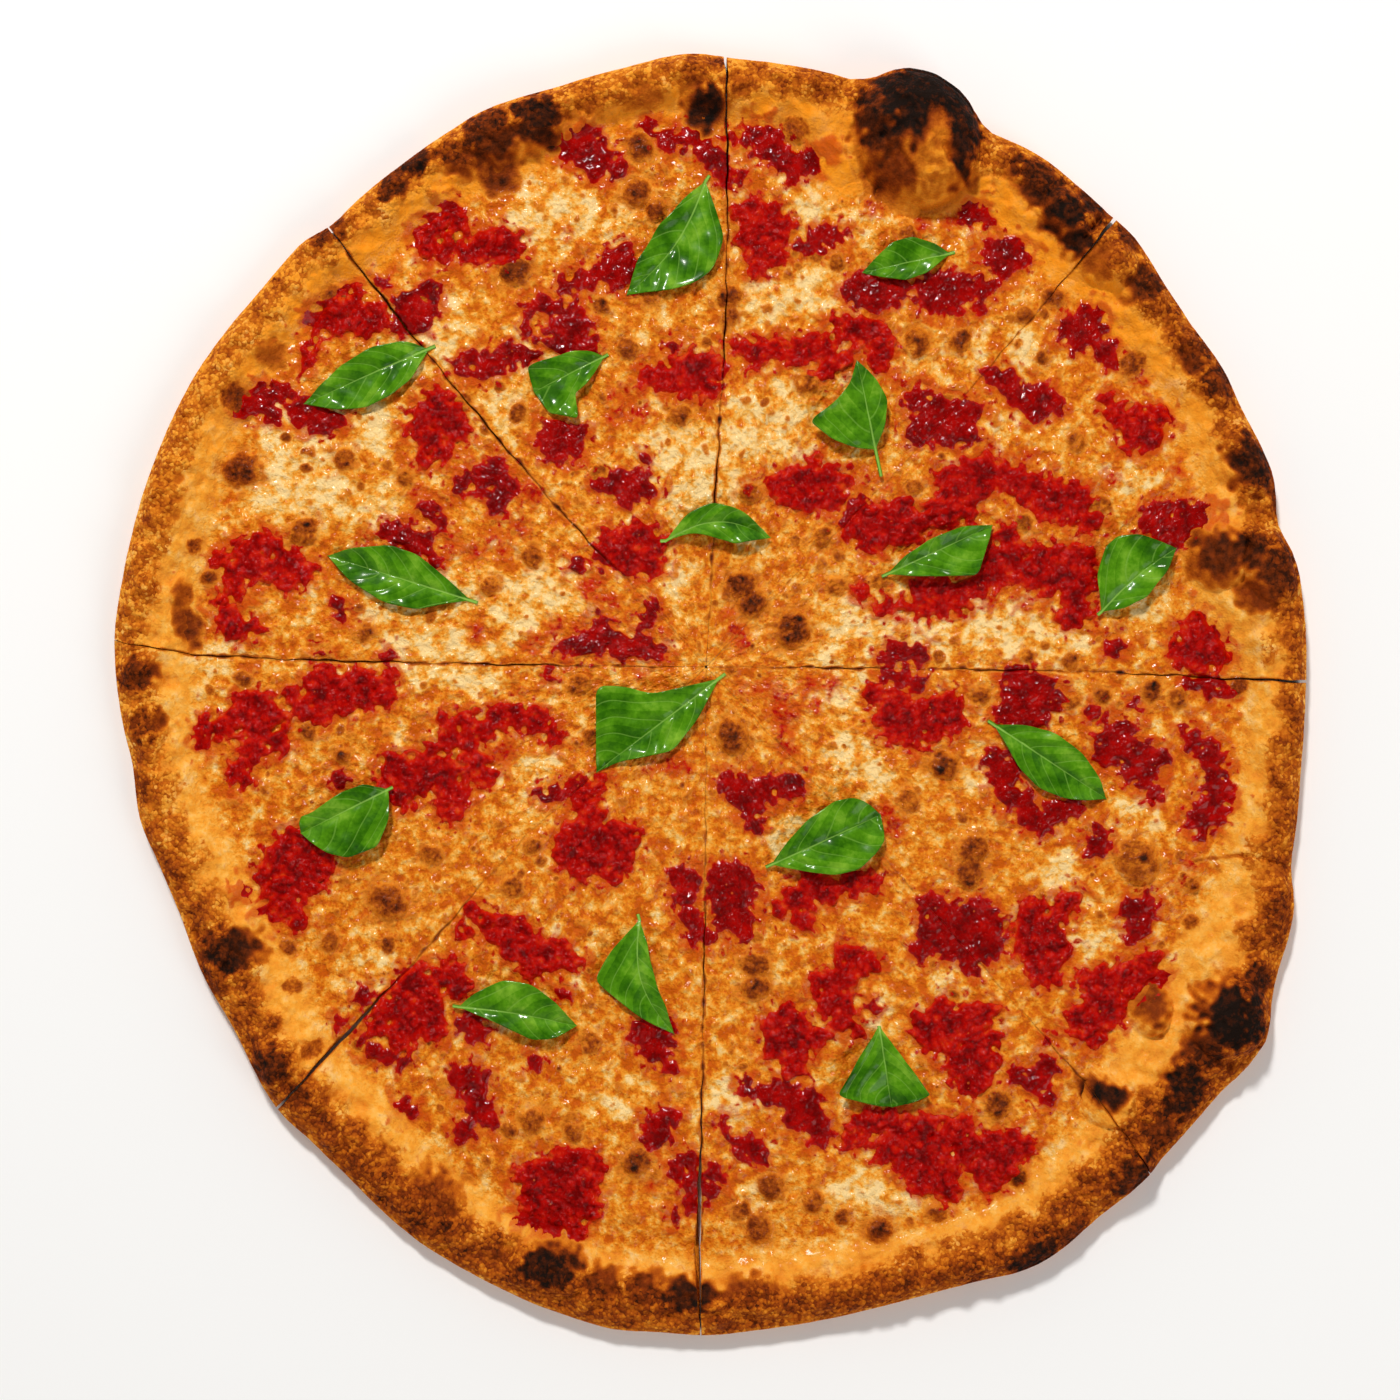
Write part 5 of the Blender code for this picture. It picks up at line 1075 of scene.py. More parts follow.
def dollop_depth(name, slice_number, x, y):
    """How deep places lie inside a dollop that ends at the cuts of its slice."""
    depth = read_map(dollop_depths[name] + edge_fray, x, y)
    return np.minimum(depth, cut_slope(x, y) * (inside_slice(slice_number - 1, x, y) - 0.1))


def joined_part(keep, core):
    """The part of a grid's kept corners that hangs together with its core."""
    part = keep & core
    while True:
        grown = part.copy()
        grown[1:] |= part[:-1]
        grown[:-1] |= part[1:]
        grown[:, 1:] |= part[:, :-1]
        grown[:, :-1] |= part[:, 1:]
        grown &= keep
        if (grown == part).all():
            return part
        part = grown


def shape_dollop(name, slice_number, blobs):
    """One dollop of sauce that lies on a slice's cheese."""
    low_x = min(x - radius for x, _, radius in blobs) - PATCH_MARGIN
    high_x = max(x + radius for x, _, radius in blobs) + PATCH_MARGIN
    low_y = min(y - radius for _, y, radius in blobs) - PATCH_MARGIN
    high_y = max(y + radius for _, y, radius in blobs) + PATCH_MARGIN
    count_x = round((high_x - low_x) / SAUCE_SPACING)
    count_y = round((high_y - low_y) / SAUCE_SPACING)
    piece = flat_grid(f"dressed_{name}", count_x, count_y)
    flat = corners(piece)
    x = low_x + (flat[:, 0] + 1) / 2 * (high_x - low_x)
    y = low_y + (flat[:, 1] + 1) / 2 * (high_y - low_y)
    depth = np.minimum(dollop_depth(name, slice_number, x, y), -read_map(FROM_FOOT, x, y) - 0.5)
    body = step(depth, 0.0, 2.4)
    rise = -0.45 + 0.45 * step(depth, SLIPPED_UNDER, 0.5) + body * (0.4 + 1.05 * read_map(pulp, x, y))
    move_corners(piece, to_pizza(x, y, read_map(CHEESE_HEIGHT, x, y) + rise))
    order = np.lexsort((flat[:, 0].round(6), flat[:, 1].round(6)))
    grid_shape = (count_y + 1, count_x + 1)
    depth_grid = depth[order].reshape(grid_shape)
    keep = np.empty(len(flat), dtype=bool)
    keep[order] = joined_part(depth_grid > SLIPPED_UNDER, depth_grid > HEART_DEPTH).reshape(-1)
    edit(piece)
    finish_edit()
    piece.data.vertices.foreach_set("select", ~keep)
    bpy.ops.object.mode_set(mode="EDIT")
    bpy.ops.mesh.delete(type="VERT")
    bpy.ops.mesh.select_all(action="SELECT")
    bpy.ops.mesh.extrude_region_move(TRANSFORM_OT_translate={"value": (0, 0, -SAUCE_DEPTH * MM)})
    face_outwards()
    x, y, _ = from_pizza(corners(piece))
    thickness = step(dollop_depth(name, slice_number, x, y), -0.5, 4.5)
    fullness = 0.5 + 1.3 * (read_map(pulp, x, y) - PULP_LEVEL)
    write_marks(piece, "topping", np.stack([np.clip(fullness, 0, 1), 0 * x + 1.0, thickness], axis=-1))
    return piece


dollops = [shape_dollop(name, slice_number, blobs) for name, slice_number, blobs in SAUCE]
print("the dollops have", sum(len(dollop.data.polygons) for dollop in dollops), "faces together")

# %% [markdown]
# ## The basil leaves
#
# A basil leaf is a thin, puckered blade. Its side veins leave the midrib at a slant and bend towards
# the tip, and the blade bulges between them. Each leaf is read off as its two ends and how wide it
# is on each side. The grid is bent to that outline, given folds and bulges, and then thickened.

# %% Shape the leaves
LEAVES = (
    {"stem": (-0.2, 168), "tip": (-27.5, 128.5), "bow": 4,
     "left": ((0.12, 6.5), (0.26, 13.5), (0.5, 15.5), (0.65, 13.5), (0.8, 9), (0.92, 3.2)),
     "right": ((0.2, 5), (0.47, 8.5), (0.75, 6.5))},
    {"stem": (84.5, 143), "tip": (54, 136.2), "bow": 0,
     "left": ((0.3, 5), (0.55, 6), (0.8, 3.2)), "right": ((0.15, 4), (0.38, 8.4), (0.6, 8), (0.82, 4))},
    {"stem": (-95.8, 110), "tip": (-139, 90.9), "bow": 0,
     "left": ((0.2, 7.2), (0.4, 9.7), (0.6, 10), (0.8, 6.5)),
     "right": ((0.15, 6), (0.38, 8.4), (0.65, 6.6), (0.85, 3))},
    {"stem": (-35.1, 107.4), "tip": (-59.5, 95.1), "bow": 0,
     "left": ((0.2, 3.6), (0.36, 5.9), (0.57, 7.2), (0.62, 15), (0.66, 15.2), (0.97, 8.6)),
     "right": ((0.15, 4), (0.34, 6.4), (0.6, 7.6), (0.85, 8.6), (0.96, 8.4))},
    {"stem": (58.5, 75), "tip": (52, 106), "bow": 0, "stalk": 0.3,
     "left": ((0.06, 7), (0.2, 14), (0.45, 20.5), (0.58, 11), (0.75, 4.2)),
     "right": ((0.25, 5), (0.5, 7.4), (0.75, 5))},
    {"stem": (-81.5, 23), "tip": (-131, 38.5), "bow": 0,
     "left": ((0.15, 3.6), (0.32, 8.6), (0.55, 9.6), (0.8, 6)),
     "right": ((0.2, 5), (0.42, 9.6), (0.62, 10), (0.85, 5))},
    {"stem": (-14, 43.5), "tip": (22.5, 44.5), "bow": 6,
     "left": ((0.2, 5), (0.45, 6.6), (0.75, 4.6)), "right": ((0.25, 2), (0.5, 6), (0.66, 7.2), (0.85, 3.4))},
    {"stem": (62.5, 32), "tip": (99, 49), "bow": 0,
     "left": ((0.2, 3), (0.45, 4.6), (0.75, 4)), "right": ((0.2, 4.6), (0.4, 8.4), (0.7, 13.6))},
    {"stem": (136.5, 19), "tip": (162.5, 41), "bow": 1.5,
     "left": ((0.2, 10), (0.45, 15), (0.62, 15), (0.8, 11)), "right": ((0.2, 5), (0.45, 7.6), (0.75, 5))},
    {"stem": (4.5, -4), "tip": (-38, -36.5), "bow": 0,
     "left": ((0.27, 6.6), (0.52, 10.2), (0.68, 6), (0.84, 1.8)),
     "right": ((0.22, 5.2), (0.41, 10), (0.52, 18), (0.66, 23.8))},
    {"stem": (99.5, -20), "tip": (138.5, -45.7), "bow": 0,
     "left": ((0.2, 6), (0.4, 9.2), (0.66, 8.5), (0.85, 5)),
     "right": ((0.15, 3.4), (0.33, 7.8), (0.54, 9.8), (0.74, 7.8), (0.87, 4.4))},
    {"stem": (22.5, -68.3), "tip": (60.3, -51), "bow": 0,
     "left": ((0.2, 5), (0.42, 8.9), (0.7, 11), (0.87, 9.2), (0.96, 4.4)),
     "right": ((0.26, 7.6), (0.45, 12.4), (0.65, 14), (0.85, 11), (0.97, 7.6))},
    {"stem": (-109.7, -42.3), "tip": (-140, -57.5), "bow": 0,
     "left": ((0.11, 8.9), (0.35, 16), (0.67, 14.9), (0.85, 9.9)),
     "right": ((0.19, 5.4), (0.44, 6.4), (0.8, 4.6), (0.94, 5.2))},
    {"stem": (-85.5, -117.4), "tip": (-44.5, -124), "bow": 1,
     "left": ((0.12, 5.4), (0.33, 11), (0.57, 11), (0.79, 6.6)),
     "right": ((0.2, 2.4), (0.42, 5), (0.65, 8), (0.82, 6))},
    {"stem": (-23, -87.5), "tip": (-11, -127), "bow": -5.5,
     "left": ((0.2, 3.6), (0.45, 5), (0.75, 4)),
     "right": ((0.17, 9.4), (0.366, 15.6), (0.6, 9.4), (0.83, 4.6))},
    {"stem": (59.7, -124), "tip": (64, -152), "bow": 0, "stalk": 0.0,
     "left": ((0.35, 5.4), (0.69, 10.5), (0.95, 14.2)),
     "right": ((0.33, 8.5), (0.56, 13.4), (0.74, 17.6), (0.77, 17.2), (0.92, 7))},
)
LEAF_LENGTHWISE = 84
LEAF_ACROSS = 36
LEAF_THICKNESS = 0.45
VEIN_SPACING = 10.3
STALK_WIDTH = 0.55
SAG = 0.25


def side_width(edge, place):
    """Half of a leaf's width on one side, in mm, with the corners of its outline eased."""
    pairs = ((0.0, 0.0), *edge, (1.0, 0.0))
    width = sum(along(pairs, place + shift) for shift in (-0.04, -0.02, 0.0, 0.02, 0.04)) / 5.0
    ends = np.minimum(1.0, np.clip((1.0 - place) / 0.03, 0, 1)) * np.clip(place / 0.03, 0, 1)
    return np.maximum(width * ends, np.where(place < 0.12, STALK_WIDTH, 0.05))


def shape_leaf(leaf, number):
    """One basil leaf."""
    node = f"basil_{number:02d}"
    piece = flat_grid(f"dressed_{node}", LEAF_LENGTHWISE, LEAF_ACROSS)
    flat = corners(piece)
    stalk = leaf.get("stalk", 0.05)
    place = -stalk + (1.0 + stalk) * (flat[:, 0] + 1) / 2
    side = flat[:, 1]
    stem, tip = Vector(leaf["stem"]), Vector(leaf["tip"])
    length = (tip - stem).length
    lengthwise = (tip - stem) / length
    half_width = np.where(side > 0, side_width(leaf["left"], place), side_width(leaf["right"], place))
    across = side * half_width
    inner = np.clip(place, 0.0, 1.0)
    offset = leaf["bow"] * np.sin(math.pi * inner) + across
    x = stem.x + lengthwise.x * length * place - lengthwise.y * offset
    y = stem.y + lengthwise.y * length * place + lengthwise.x * offset
    away = np.abs(across)
    slant = half_width * (0.7 * np.abs(side) + 0.7 * side ** 2)
    vein = (place * length - slant) / VEIN_SPACING + np.where(side > 0, 0.45, 0.0) + 0.37 * number
    vein += 0.16 * np.sin(1.3 * vein + number) + 0.07 * np.sin(0.5 * away + 2.3 * vein)
    blade = step(half_width, 0.8, 3.5)
    bulge = np.abs(np.sin(math.pi * vein)) ** 0.8 * step(away, 0.2, 3.0) * (1 - 0.75 * np.abs(side) ** 2)
    bulge *= 0.6 + 0.4 * np.sin(1.7 * vein + number)
    low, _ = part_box(node)
    lift = 0.9 * side ** 2 * blade + 0.5 * np.abs(side) ** 0.7 * blade
    lift += blade * 0.75 * (bulge - 0.3) + 0.8 * np.sin(math.pi * inner) ** 0.7
    lift += 0.3 * blade * np.sin(0.55 * x + 0.9 * np.sin(0.3 * y + number)) * np.sin(0.6 * y + number)
    lift -= 0.35 * np.exp(-(away / 0.9) ** 2)
    lift += 0.45 * blade * np.abs(side) ** 3 * np.sin(place * 15.0 + 2.3 * number)
    lift += 0.5 * np.sin(place * 5.0 + number) * np.cos(side * 1.6 + number) * blade
    lift -= 1.0 * step(np.abs(inner - 0.5), 0.35, 0.5)
    level = np.logaddexp((low.z / MM + 0.35 + lift) / SAG, (read_map(SKIN, x, y) + 0.3) / SAG) * SAG
    move_corners(piece, to_pizza(x, y, level))
    write_marks(piece, "leaf_lines", np.stack([vein, away / (10.0 - 7.0 * inner), inner], axis=-1))
    thicken = piece.modifiers.new("Thickness", "SOLIDIFY")
    thicken.thickness = LEAF_THICKNESS * MM
    thicken.offset = 0.0
    edit(piece)
    face_outwards()
    bpy.ops.object.modifier_apply(modifier="Thickness")
    return piece


leaves = [shape_leaf(leaf, number) for number, leaf in enumerate(LEAVES, start=1)]
print(len(leaves), "leaves of", len(leaves[0].data.polygons), "faces each")

# %% [markdown]
# ## Smooth skins and marks
#
# Food has no hard facets. Every piece is shaded smooth, with a crease only where the wheel cut
# through. Then the crusts and the cheese get their marks from the map. Down the outer side of a
# crust, which the map doesn't show, the burns fade into an even toast.

# %% Shade the pieces and write their marks
CREASE_ANGLE = 62
SIDE_TOAST = 0.3
SIDE_LOW, SIDE_HIGH = 1.0, 10.0

for piece in crusts + cheeses + dollops + leaves:
    bpy.ops.object.select_all(action="DESELECT")
    piece.select_set(True)
    bpy.context.view_layer.objects.active = piece
    if piece in dollops or piece in leaves:
        bpy.ops.object.shade_smooth()
    else:
        bpy.ops.object.shade_smooth_by_angle(angle=math.radians(CREASE_ANGLE))

for piece in crusts + cheeses:
    x, y, z = from_pizza(corners(piece))
    baking = read_marks(BAKING, x, y)
    if piece in crusts:
        from_map = step(z, SIDE_LOW, SIDE_HIGH)
        baking[:, 0] = SIDE_TOAST + (baking[:, 0] - SIDE_TOAST) * from_map
        baking[:, 1] *= from_map
    write_marks(piece, "baking", baking)
    write_marks(piece, "topping", read_marks(TOPPING, x, y))
    write_marks(piece, "ground", read_marks(GROUND, x, y))
print("marks written on", len(crusts) + len(cheeses), "pieces")

# %% [markdown]
# ## Helpers for materials
#
# A material is a small network of nodes. These helpers add a node, join two nodes and turn a colour
# as one reads it off a picture, from 0 to 255, into the light values that Blender works with.

# %% Material helpers
def light_colour(red, green, blue):
    """A picture's colour, 0 to 255, as linear light."""
    linear = [((part / 255 + 0.055) / 1.055) ** 2.4 if part > 10 else part / 255 / 12.92
              for part in (red, green, blue)]
    return (*linear, 1.0)


def add_node(tree, kind, **settings):
    """Add a node to a network and set its options."""
    node = tree.nodes.new(kind)
    for name, value in settings.items():
        setattr(node, name, value)
    return node


def connect(tree, source, target):
    """Join a node's output, or a plain number, to another node's input."""
    if isinstance(source, (int, float)):
        target.default_value = source
    else:
        tree.links.new(source, target)


def arithmetic(tree, operation, first, second, clamp=False):
    """Add, multiply or otherwise combine two numbers."""
    node = add_node(tree, "ShaderNodeMath", operation=operation, use_clamp=clamp)
    connect(tree, first, node.inputs[0])
    connect(tree, second, node.inputs[1])
    return node.outputs[0]


def total(tree, *parts):
    """Add up several numbers, each given as (number, weight)."""
    result = 0.0
    for value, weight in parts:
        node = add_node(tree, "ShaderNodeMath", operation="MULTIPLY_ADD")
        connect(tree, value, node.inputs[0])
        connect(tree, weight, node.inputs[1])
        connect(tree, result, node.inputs[2])
        result = node.outputs[0]
    return result


def rising(tree, value, start, end):
    """Rise softly from 0 to 1 as a value goes from start to end."""
    node = add_node(tree, "ShaderNodeMapRange", interpolation_type="SMOOTHSTEP")
    connect(tree, value, node.inputs["Value"])
    node.inputs["From Min"].default_value = start
    node.inputs["From Max"].default_value = end
    return node.outputs["Result"]


def colour_mix(tree, share, first, second, blend_type="MIX"):
    """Mix two colours."""
    node = add_node(tree, "ShaderNodeMix", data_type="RGBA", blend_type=blend_type)
    connect(tree, share, node.inputs[0])
    for source, target in ((first, node.inputs[6]), (second, node.inputs[7])):
        if isinstance(source, tuple):
            target.default_value = source
        else:
            tree.links.new(source, target)
    return node.outputs[2]


def colour_ramp(tree, value, stops):
    """Turn a number into a colour along a ramp of (place, colour)."""
    node = add_node(tree, "ShaderNodeValToRGB")
    ramp = node.color_ramp
    while len(ramp.elements) < len(stops):
        ramp.elements.new(0.5)
    for element, (place, colour) in zip(ramp.elements, stops):
        element.position = place
        element.color = colour
    connect(tree, value, node.inputs[0])
    return node.outputs[0]


def new_group(name, inputs, outputs):
    """A node group with named inputs and outputs, each (name, socket type)."""
    tree = bpy.data.node_groups.new(name, "ShaderNodeTree")
    for socket_name, socket_type, value in inputs:
        socket = tree.interface.new_socket(socket_name, in_out="INPUT", socket_type=socket_type)
        socket.default_value = value
    for socket_name, socket_type in outputs:
        tree.interface.new_socket(socket_name, in_out="OUTPUT", socket_type=socket_type)
    return tree, tree.nodes.new("NodeGroupInput"), tree.nodes.new("NodeGroupOutput")


def three_marks(tree, name):
    """Read the three marks that a piece carries under a name."""
    marks = add_node(tree, "ShaderNodeAttribute", attribute_name=name)
    split = add_node(tree, "ShaderNodeSeparateColor")
    tree.links.new(marks.outputs["Color"], split.inputs[0])
    return split.outputs[0], split.outputs[1], split.outputs[2]


def noise(tree, where, size, detail=2.0, roughness=0.5):
    """Cloudy noise with features of about this size in mm."""
    node = add_node(tree, "ShaderNodeTexNoise")
    tree.links.new(where, node.inputs["Vector"])
    node.inputs["Scale"].default_value = 1000.0 / size
    node.inputs["Detail"].default_value = detail
    node.inputs["Roughness"].default_value = roughness
    return node.outputs["Fac"]


def grains(tree, where, size, randomness=1.0):
    """Packed grains of about this size in mm: how far each place is from its grain, and its tone."""
    node = add_node(tree, "ShaderNodeTexVoronoi")
    tree.links.new(where, node.inputs["Vector"])
    node.inputs["Scale"].default_value = 1000.0 / size
    node.inputs["Randomness"].default_value = randomness
    tone = add_node(tree, "ShaderNodeSeparateColor")
    tree.links.new(node.outputs["Color"], tone.inputs[0])
    return node.outputs["Distance"], tone.outputs[0]


def position(tree):
    """Object coordinates: they stay with the piece."""
    return add_node(tree, "ShaderNodeTexCoord").outputs["Object"]


# %% [markdown]
# ## Crushed tomato
#
# Cooked tomato is a deep, wet red where it is thick and a brighter orange-red where it thins out,
# with pulp that catches the light in many tiny points. The sauce lies both in the dollops and in the
# dabs that sank into the cheese, so the finish is a group that both materials share.

# %% The tomato finish
tomato, tomato_in, tomato_out = new_group(
    "tomato_finish", (("Thickness", "NodeSocketFloat", 0.5), ("Fullness", "NodeSocketFloat", 0.5)),
    (("Colour", "NodeSocketColor"), ("Roughness", "NodeSocketFloat"), ("Height", "NodeSocketFloat")))
where = position(tomato)
soft = noise(tomato, where, 6.5, 3.0)
fine = noise(tomato, where, 1.3, 3.0, 0.6)
pulp_gap, pulp_tone = grains(tomato, where, 1.9)
redness = total(tomato, (tomato_in.outputs[0], 0.62), (tomato_in.outputs[1], -0.6), (soft, 1.3), (fine, 0.45),
                (pulp_tone, 0.14), (1.0, -0.46))
red = colour_ramp(tomato, redness, (
    (0.0, light_colour(206, 62, 14)), (0.2, light_colour(198, 26, 5)), (0.48, light_colour(178, 6, 1)),
    (0.78, light_colour(146, 1, 0)), (1.0, light_colour(108, 0, 0))))
seeds = rising(tomato, total(tomato, (pulp_tone, 1.0), (pulp_gap, -0.35)), 0.9, 0.93)
red = colour_mix(tomato, arithmetic(tomato, "MULTIPLY", seeds, 0.55), red, light_colour(214, 96, 36))
tomato.links.new(red, tomato_out.inputs["Colour"])
connect(tomato, total(tomato, (fine, 0.2), (1.0, 0.06)), tomato_out.inputs["Roughness"])
connect(tomato, total(tomato, (pulp_gap, -0.6), (fine, 0.7), (soft, 1.0)), tomato_out.inputs["Height"])

# %% [markdown]
# ## The oven's work
#
# One finish covers both the cheese and the dough, because they melt into each other. It starts from
# gold and cream, stains it with orange oil, and then toasts it through amber and brown to black. On
# the rim the surface breaks into grains, each with its own tone, as dusted dough does.

# %% The oven finish
oven, oven_in, oven_out = new_group(
    "oven_finish", (("Shine", "NodeSocketFloat", 0.5),),
    (("Colour", "NodeSocketColor"), ("Roughness", "NodeSocketFloat"), ("Height", "NodeSocketFloat"),
     ("Gloss", "NodeSocketFloat")))
where = position(oven)
toasted_and_shaded, burnt, grainy = three_marks(oven, "baking")
creamy, stained, _ = three_marks(oven, "topping")
bare, blistered, amber_and_painted_light = three_marks(oven, "ground")
patchy = noise(oven, where, 7.0, 3.0)
nubbly = noise(oven, where, 2.2, 3.0, 0.6)
fine = noise(oven, where, 0.8, 2.0)
shred_gap, shred_tone = grains(oven, where, 1.9)
grain_gap, grain_tone = grains(oven, where, 1.25)
nubs = total(oven, (nubbly, 1.15), (shred_tone, 0.16), (shred_gap, -0.3), (fine, 0.5), (1.0, -0.79))
nubs = arithmetic(oven, "MULTIPLY", nubs, total(oven, (bare, -0.35), (1.0, 1.0)))
richness = total(oven, (creamy, 1.0), (nubs, 1.05), (patchy, 1.3), (1.0, -0.56))
melted = colour_ramp(oven, richness, (
    (0.0, light_colour(202, 90, 8)), (0.25, light_colour(224, 120, 16)), (0.48, light_colour(240, 150, 38)),
    (0.72, light_colour(247, 184, 86)), (1.0, light_colour(253, 216, 148))))
melted = colour_mix(oven, arithmetic(oven, "MULTIPLY", bare, 0.4), melted, light_colour(248, 174, 62))
# Painted light: the amber mark brightens the northern inner rim, which lies in the key light's shade, as well
# as giving it its oily colour.
melted = colour_mix(oven, arithmetic(oven, "MULTIPLY", amber_and_painted_light, 0.75), melted, light_colour(250, 148, 20))
oily = rising(oven, total(oven, (stained, 1.0), (nubbly, 1.1), (patchy, 0.5), (1.0, -0.8)), 0.1, 0.9)
melted = colour_mix(oven, arithmetic(oven, "MULTIPLY", oily, 0.8), melted, light_colour(202, 68, 10))
bits = rising(oven, total(oven, (shred_tone, 1.0), (shred_gap, -0.6)), 0.86, 0.9)
melted = colour_mix(oven, arithmetic(oven, "MULTIPLY", bits, 0.25), melted, light_colour(158, 66, 12))
grain_spread = total(oven, (grain_tone, 1.0), (grain_gap, 0.5), (1.0, -0.7))
grain_spread = arithmetic(oven, "MULTIPLY", grain_spread, grainy)
# The toast mark brings painted shade along with the browning: the darker south of the crust, the ring at the
# foot of the big bubble and the cracks.
heat_and_shade = total(oven, (toasted_and_shaded, 1.0), (grain_spread, 0.32), (nubbly, 0.2), (fine, 0.16), (patchy, 0.16),
             (1.0, -0.26))
blister_specks = total(oven, (nubbly, 0.8), (fine, 0.5), (1.0, -0.65))
blister_specks = arithmetic(oven, "MULTIPLY", blister_specks, blistered)
heat_and_shade = total(oven, (heat_and_shade, 1.0), (blister_specks, 0.4))
browned = colour_ramp(oven, heat_and_shade, (
    (0.12, light_colour(238, 164, 62)), (0.3, light_colour(216, 122, 26)), (0.48, light_colour(178, 86, 16)),
    (0.66, light_colour(130, 52, 11)), (0.85, light_colour(68, 28, 10)), (0.97, light_colour(28, 18, 13))))
surface = colour_mix(oven, rising(oven, heat_and_shade, 0.1, 0.36), melted, browned)
oven.links.new(surface, oven_out.inputs["Colour"])
dryness = total(oven, (burnt, 0.25), (grainy, 0.2), (fine, 0.3), (creamy, 0.15), (oven_in.outputs[0], -0.3),
                (1.0, 0.3))
connect(oven, dryness, oven_out.inputs["Roughness"])
smooth_part = total(oven, (grainy, -0.6), (bare, -0.4), (1.0, 1.0))
shine = rising(oven, total(oven, (burnt, 1.0), (blistered, 0.7), (grainy, 0.9), (bare, 0.55), (creamy, 0.2)),
               1.0, 0.1)
connect(oven, shine, oven_out.inputs["Gloss"])
shred_height = arithmetic(oven, "MULTIPLY", total(oven, (shred_gap, -0.7), (nubbly, 1.2)), smooth_part)
grain_height = arithmetic(oven, "MULTIPLY", total(oven, (grain_gap, -1.3), (grain_tone, 0.4)), grainy)
connect(oven, total(oven, (shred_height, 1.0), (grain_height, 1.0), (fine, 0.9)), oven_out.inputs["Height"])


# %% [markdown]
# ## The materials
#
# Each material places a finish in a Principled shader. A little coat gives the film of oil its
# small, sharp lights. The bump is at the size of the finest grains, because everything larger is
# already in the mesh.

# %% Cheese, crust and sauce
def food_material(name, coat, bump_depth, specular=0.04):
    """A material with its shader, a bump node and a thin coat of oil."""
    material = bpy.data.materials.new(name)
    material.use_nodes = True
    tree = material.node_tree
    shader = tree.nodes["Principled BSDF"]
    shader.inputs["Coat Weight"].default_value = coat
    shader.inputs["Coat Roughness"].default_value = 0.12
    shader.inputs["Specular IOR Level"].default_value = specular
    bump = add_node(tree, "ShaderNodeBump")
    bump.inputs["Strength"].default_value = 1.0
    bump.inputs["Distance"].default_value = bump_depth * MM
    tree.links.new(bump.outputs["Normal"], shader.inputs["Normal"])
    return material, tree, shader, bump


def use_group(tree, group, input_name, value):
    """Place a group in a material with its own value."""
    node = add_node(tree, "ShaderNodeGroup", node_tree=group)
    connect(tree, value, node.inputs[input_name])
    return node


crust_look, tree, shader, bump = food_material("baked_crust", 0.0, 0.4)
baked = use_group(tree, oven, "Shine", 0.15)
tree.links.new(arithmetic(tree, "MULTIPLY", baked.outputs["Gloss"], 0.05), shader.inputs["Coat Weight"])
tree.links.new(baked.outputs["Colour"], shader.inputs["Base Color"])
tree.links.new(baked.outputs["Roughness"], shader.inputs["Roughness"])
tree.links.new(baked.outputs["Height"], bump.inputs["Height"])

cheese_look, tree, shader, bump = food_material("melted_cheese", 0.4, 0.6)
baked = use_group(tree, oven, "Shine", 0.6)
_, _, sauced = three_marks(tree, "topping")
wet = use_group(tree, tomato, "Thickness", sauced)
edge_noise = noise(tree, position(tree), 1.6, 3.0, 0.6)
covered = rising(tree, total(tree, (sauced, 1.0), (edge_noise, 0.7), (1.0, -0.35)), 0.3, 0.55)
tree.links.new(colour_mix(tree, covered, baked.outputs["Colour"], wet.outputs["Colour"]),
               shader.inputs["Base Color"])
coat = arithmetic(tree, "MULTIPLY", total(tree, (baked.outputs["Gloss"], 0.8), (covered, 0.4)), 0.23)
tree.links.new(coat, shader.inputs["Coat Weight"])
for socket, target in (("Roughness", shader.inputs["Roughness"]), ("Height", bump.inputs["Height"])):
    either = add_node(tree, "ShaderNodeMix", data_type="FLOAT")
    tree.links.new(covered, either.inputs[0])
    tree.links.new(baked.outputs[socket], either.inputs[2])
    tree.links.new(wet.outputs[socket], either.inputs[3])
    tree.links.new(either.outputs[0], target)

sauce_look, tree, shader, bump = food_material("tomato_sauce", 0.0, 0.6, 0.09)
full, _, thick = three_marks(tree, "topping")
wet = use_group(tree, tomato, "Thickness", thick)
tree.links.new(full, wet.inputs["Fullness"])
tree.links.new(wet.outputs["Colour"], shader.inputs["Base Color"])
tree.links.new(wet.outputs["Roughness"], shader.inputs["Roughness"])
tree.links.new(wet.outputs["Height"], bump.inputs["Height"])

# %% [markdown]
# The leaf's material follows marks of its own: a count that goes up by one at every side vein, the
# distance from the midrib, and the place from the stalk to the tip. Veins are paler than the blade,
# and the blade's green shifts from one leaf to the next and from place to place. Within each pucker
# between two side veins the green is painted lighter on one side and darker on the other, as painted
# light and shade on the bulge.

# %% Basil
basil_look, tree, shader, bump = food_material("fresh_basil", 0.25, 0.14)
vein_count, from_midrib, towards_tip = three_marks(tree, "leaf_lines")
where = position(tree)
vein_place = arithmetic(tree, "FRACT", total(tree, (vein_count, 1.0), (1.0, 40.5)), 0.0)
vein_gap = arithmetic(tree, "ABSOLUTE", total(tree, (vein_place, 1.0), (1.0, -0.5)), 0.0)
side_vein = rising(tree, vein_gap, 0.05, 0.015)
midrib = rising(tree, from_midrib, 0.055, 0.025)
softly = noise(tree, where, 9.0, 2.0)
finely = noise(tree, where, 1.1, 3.0)
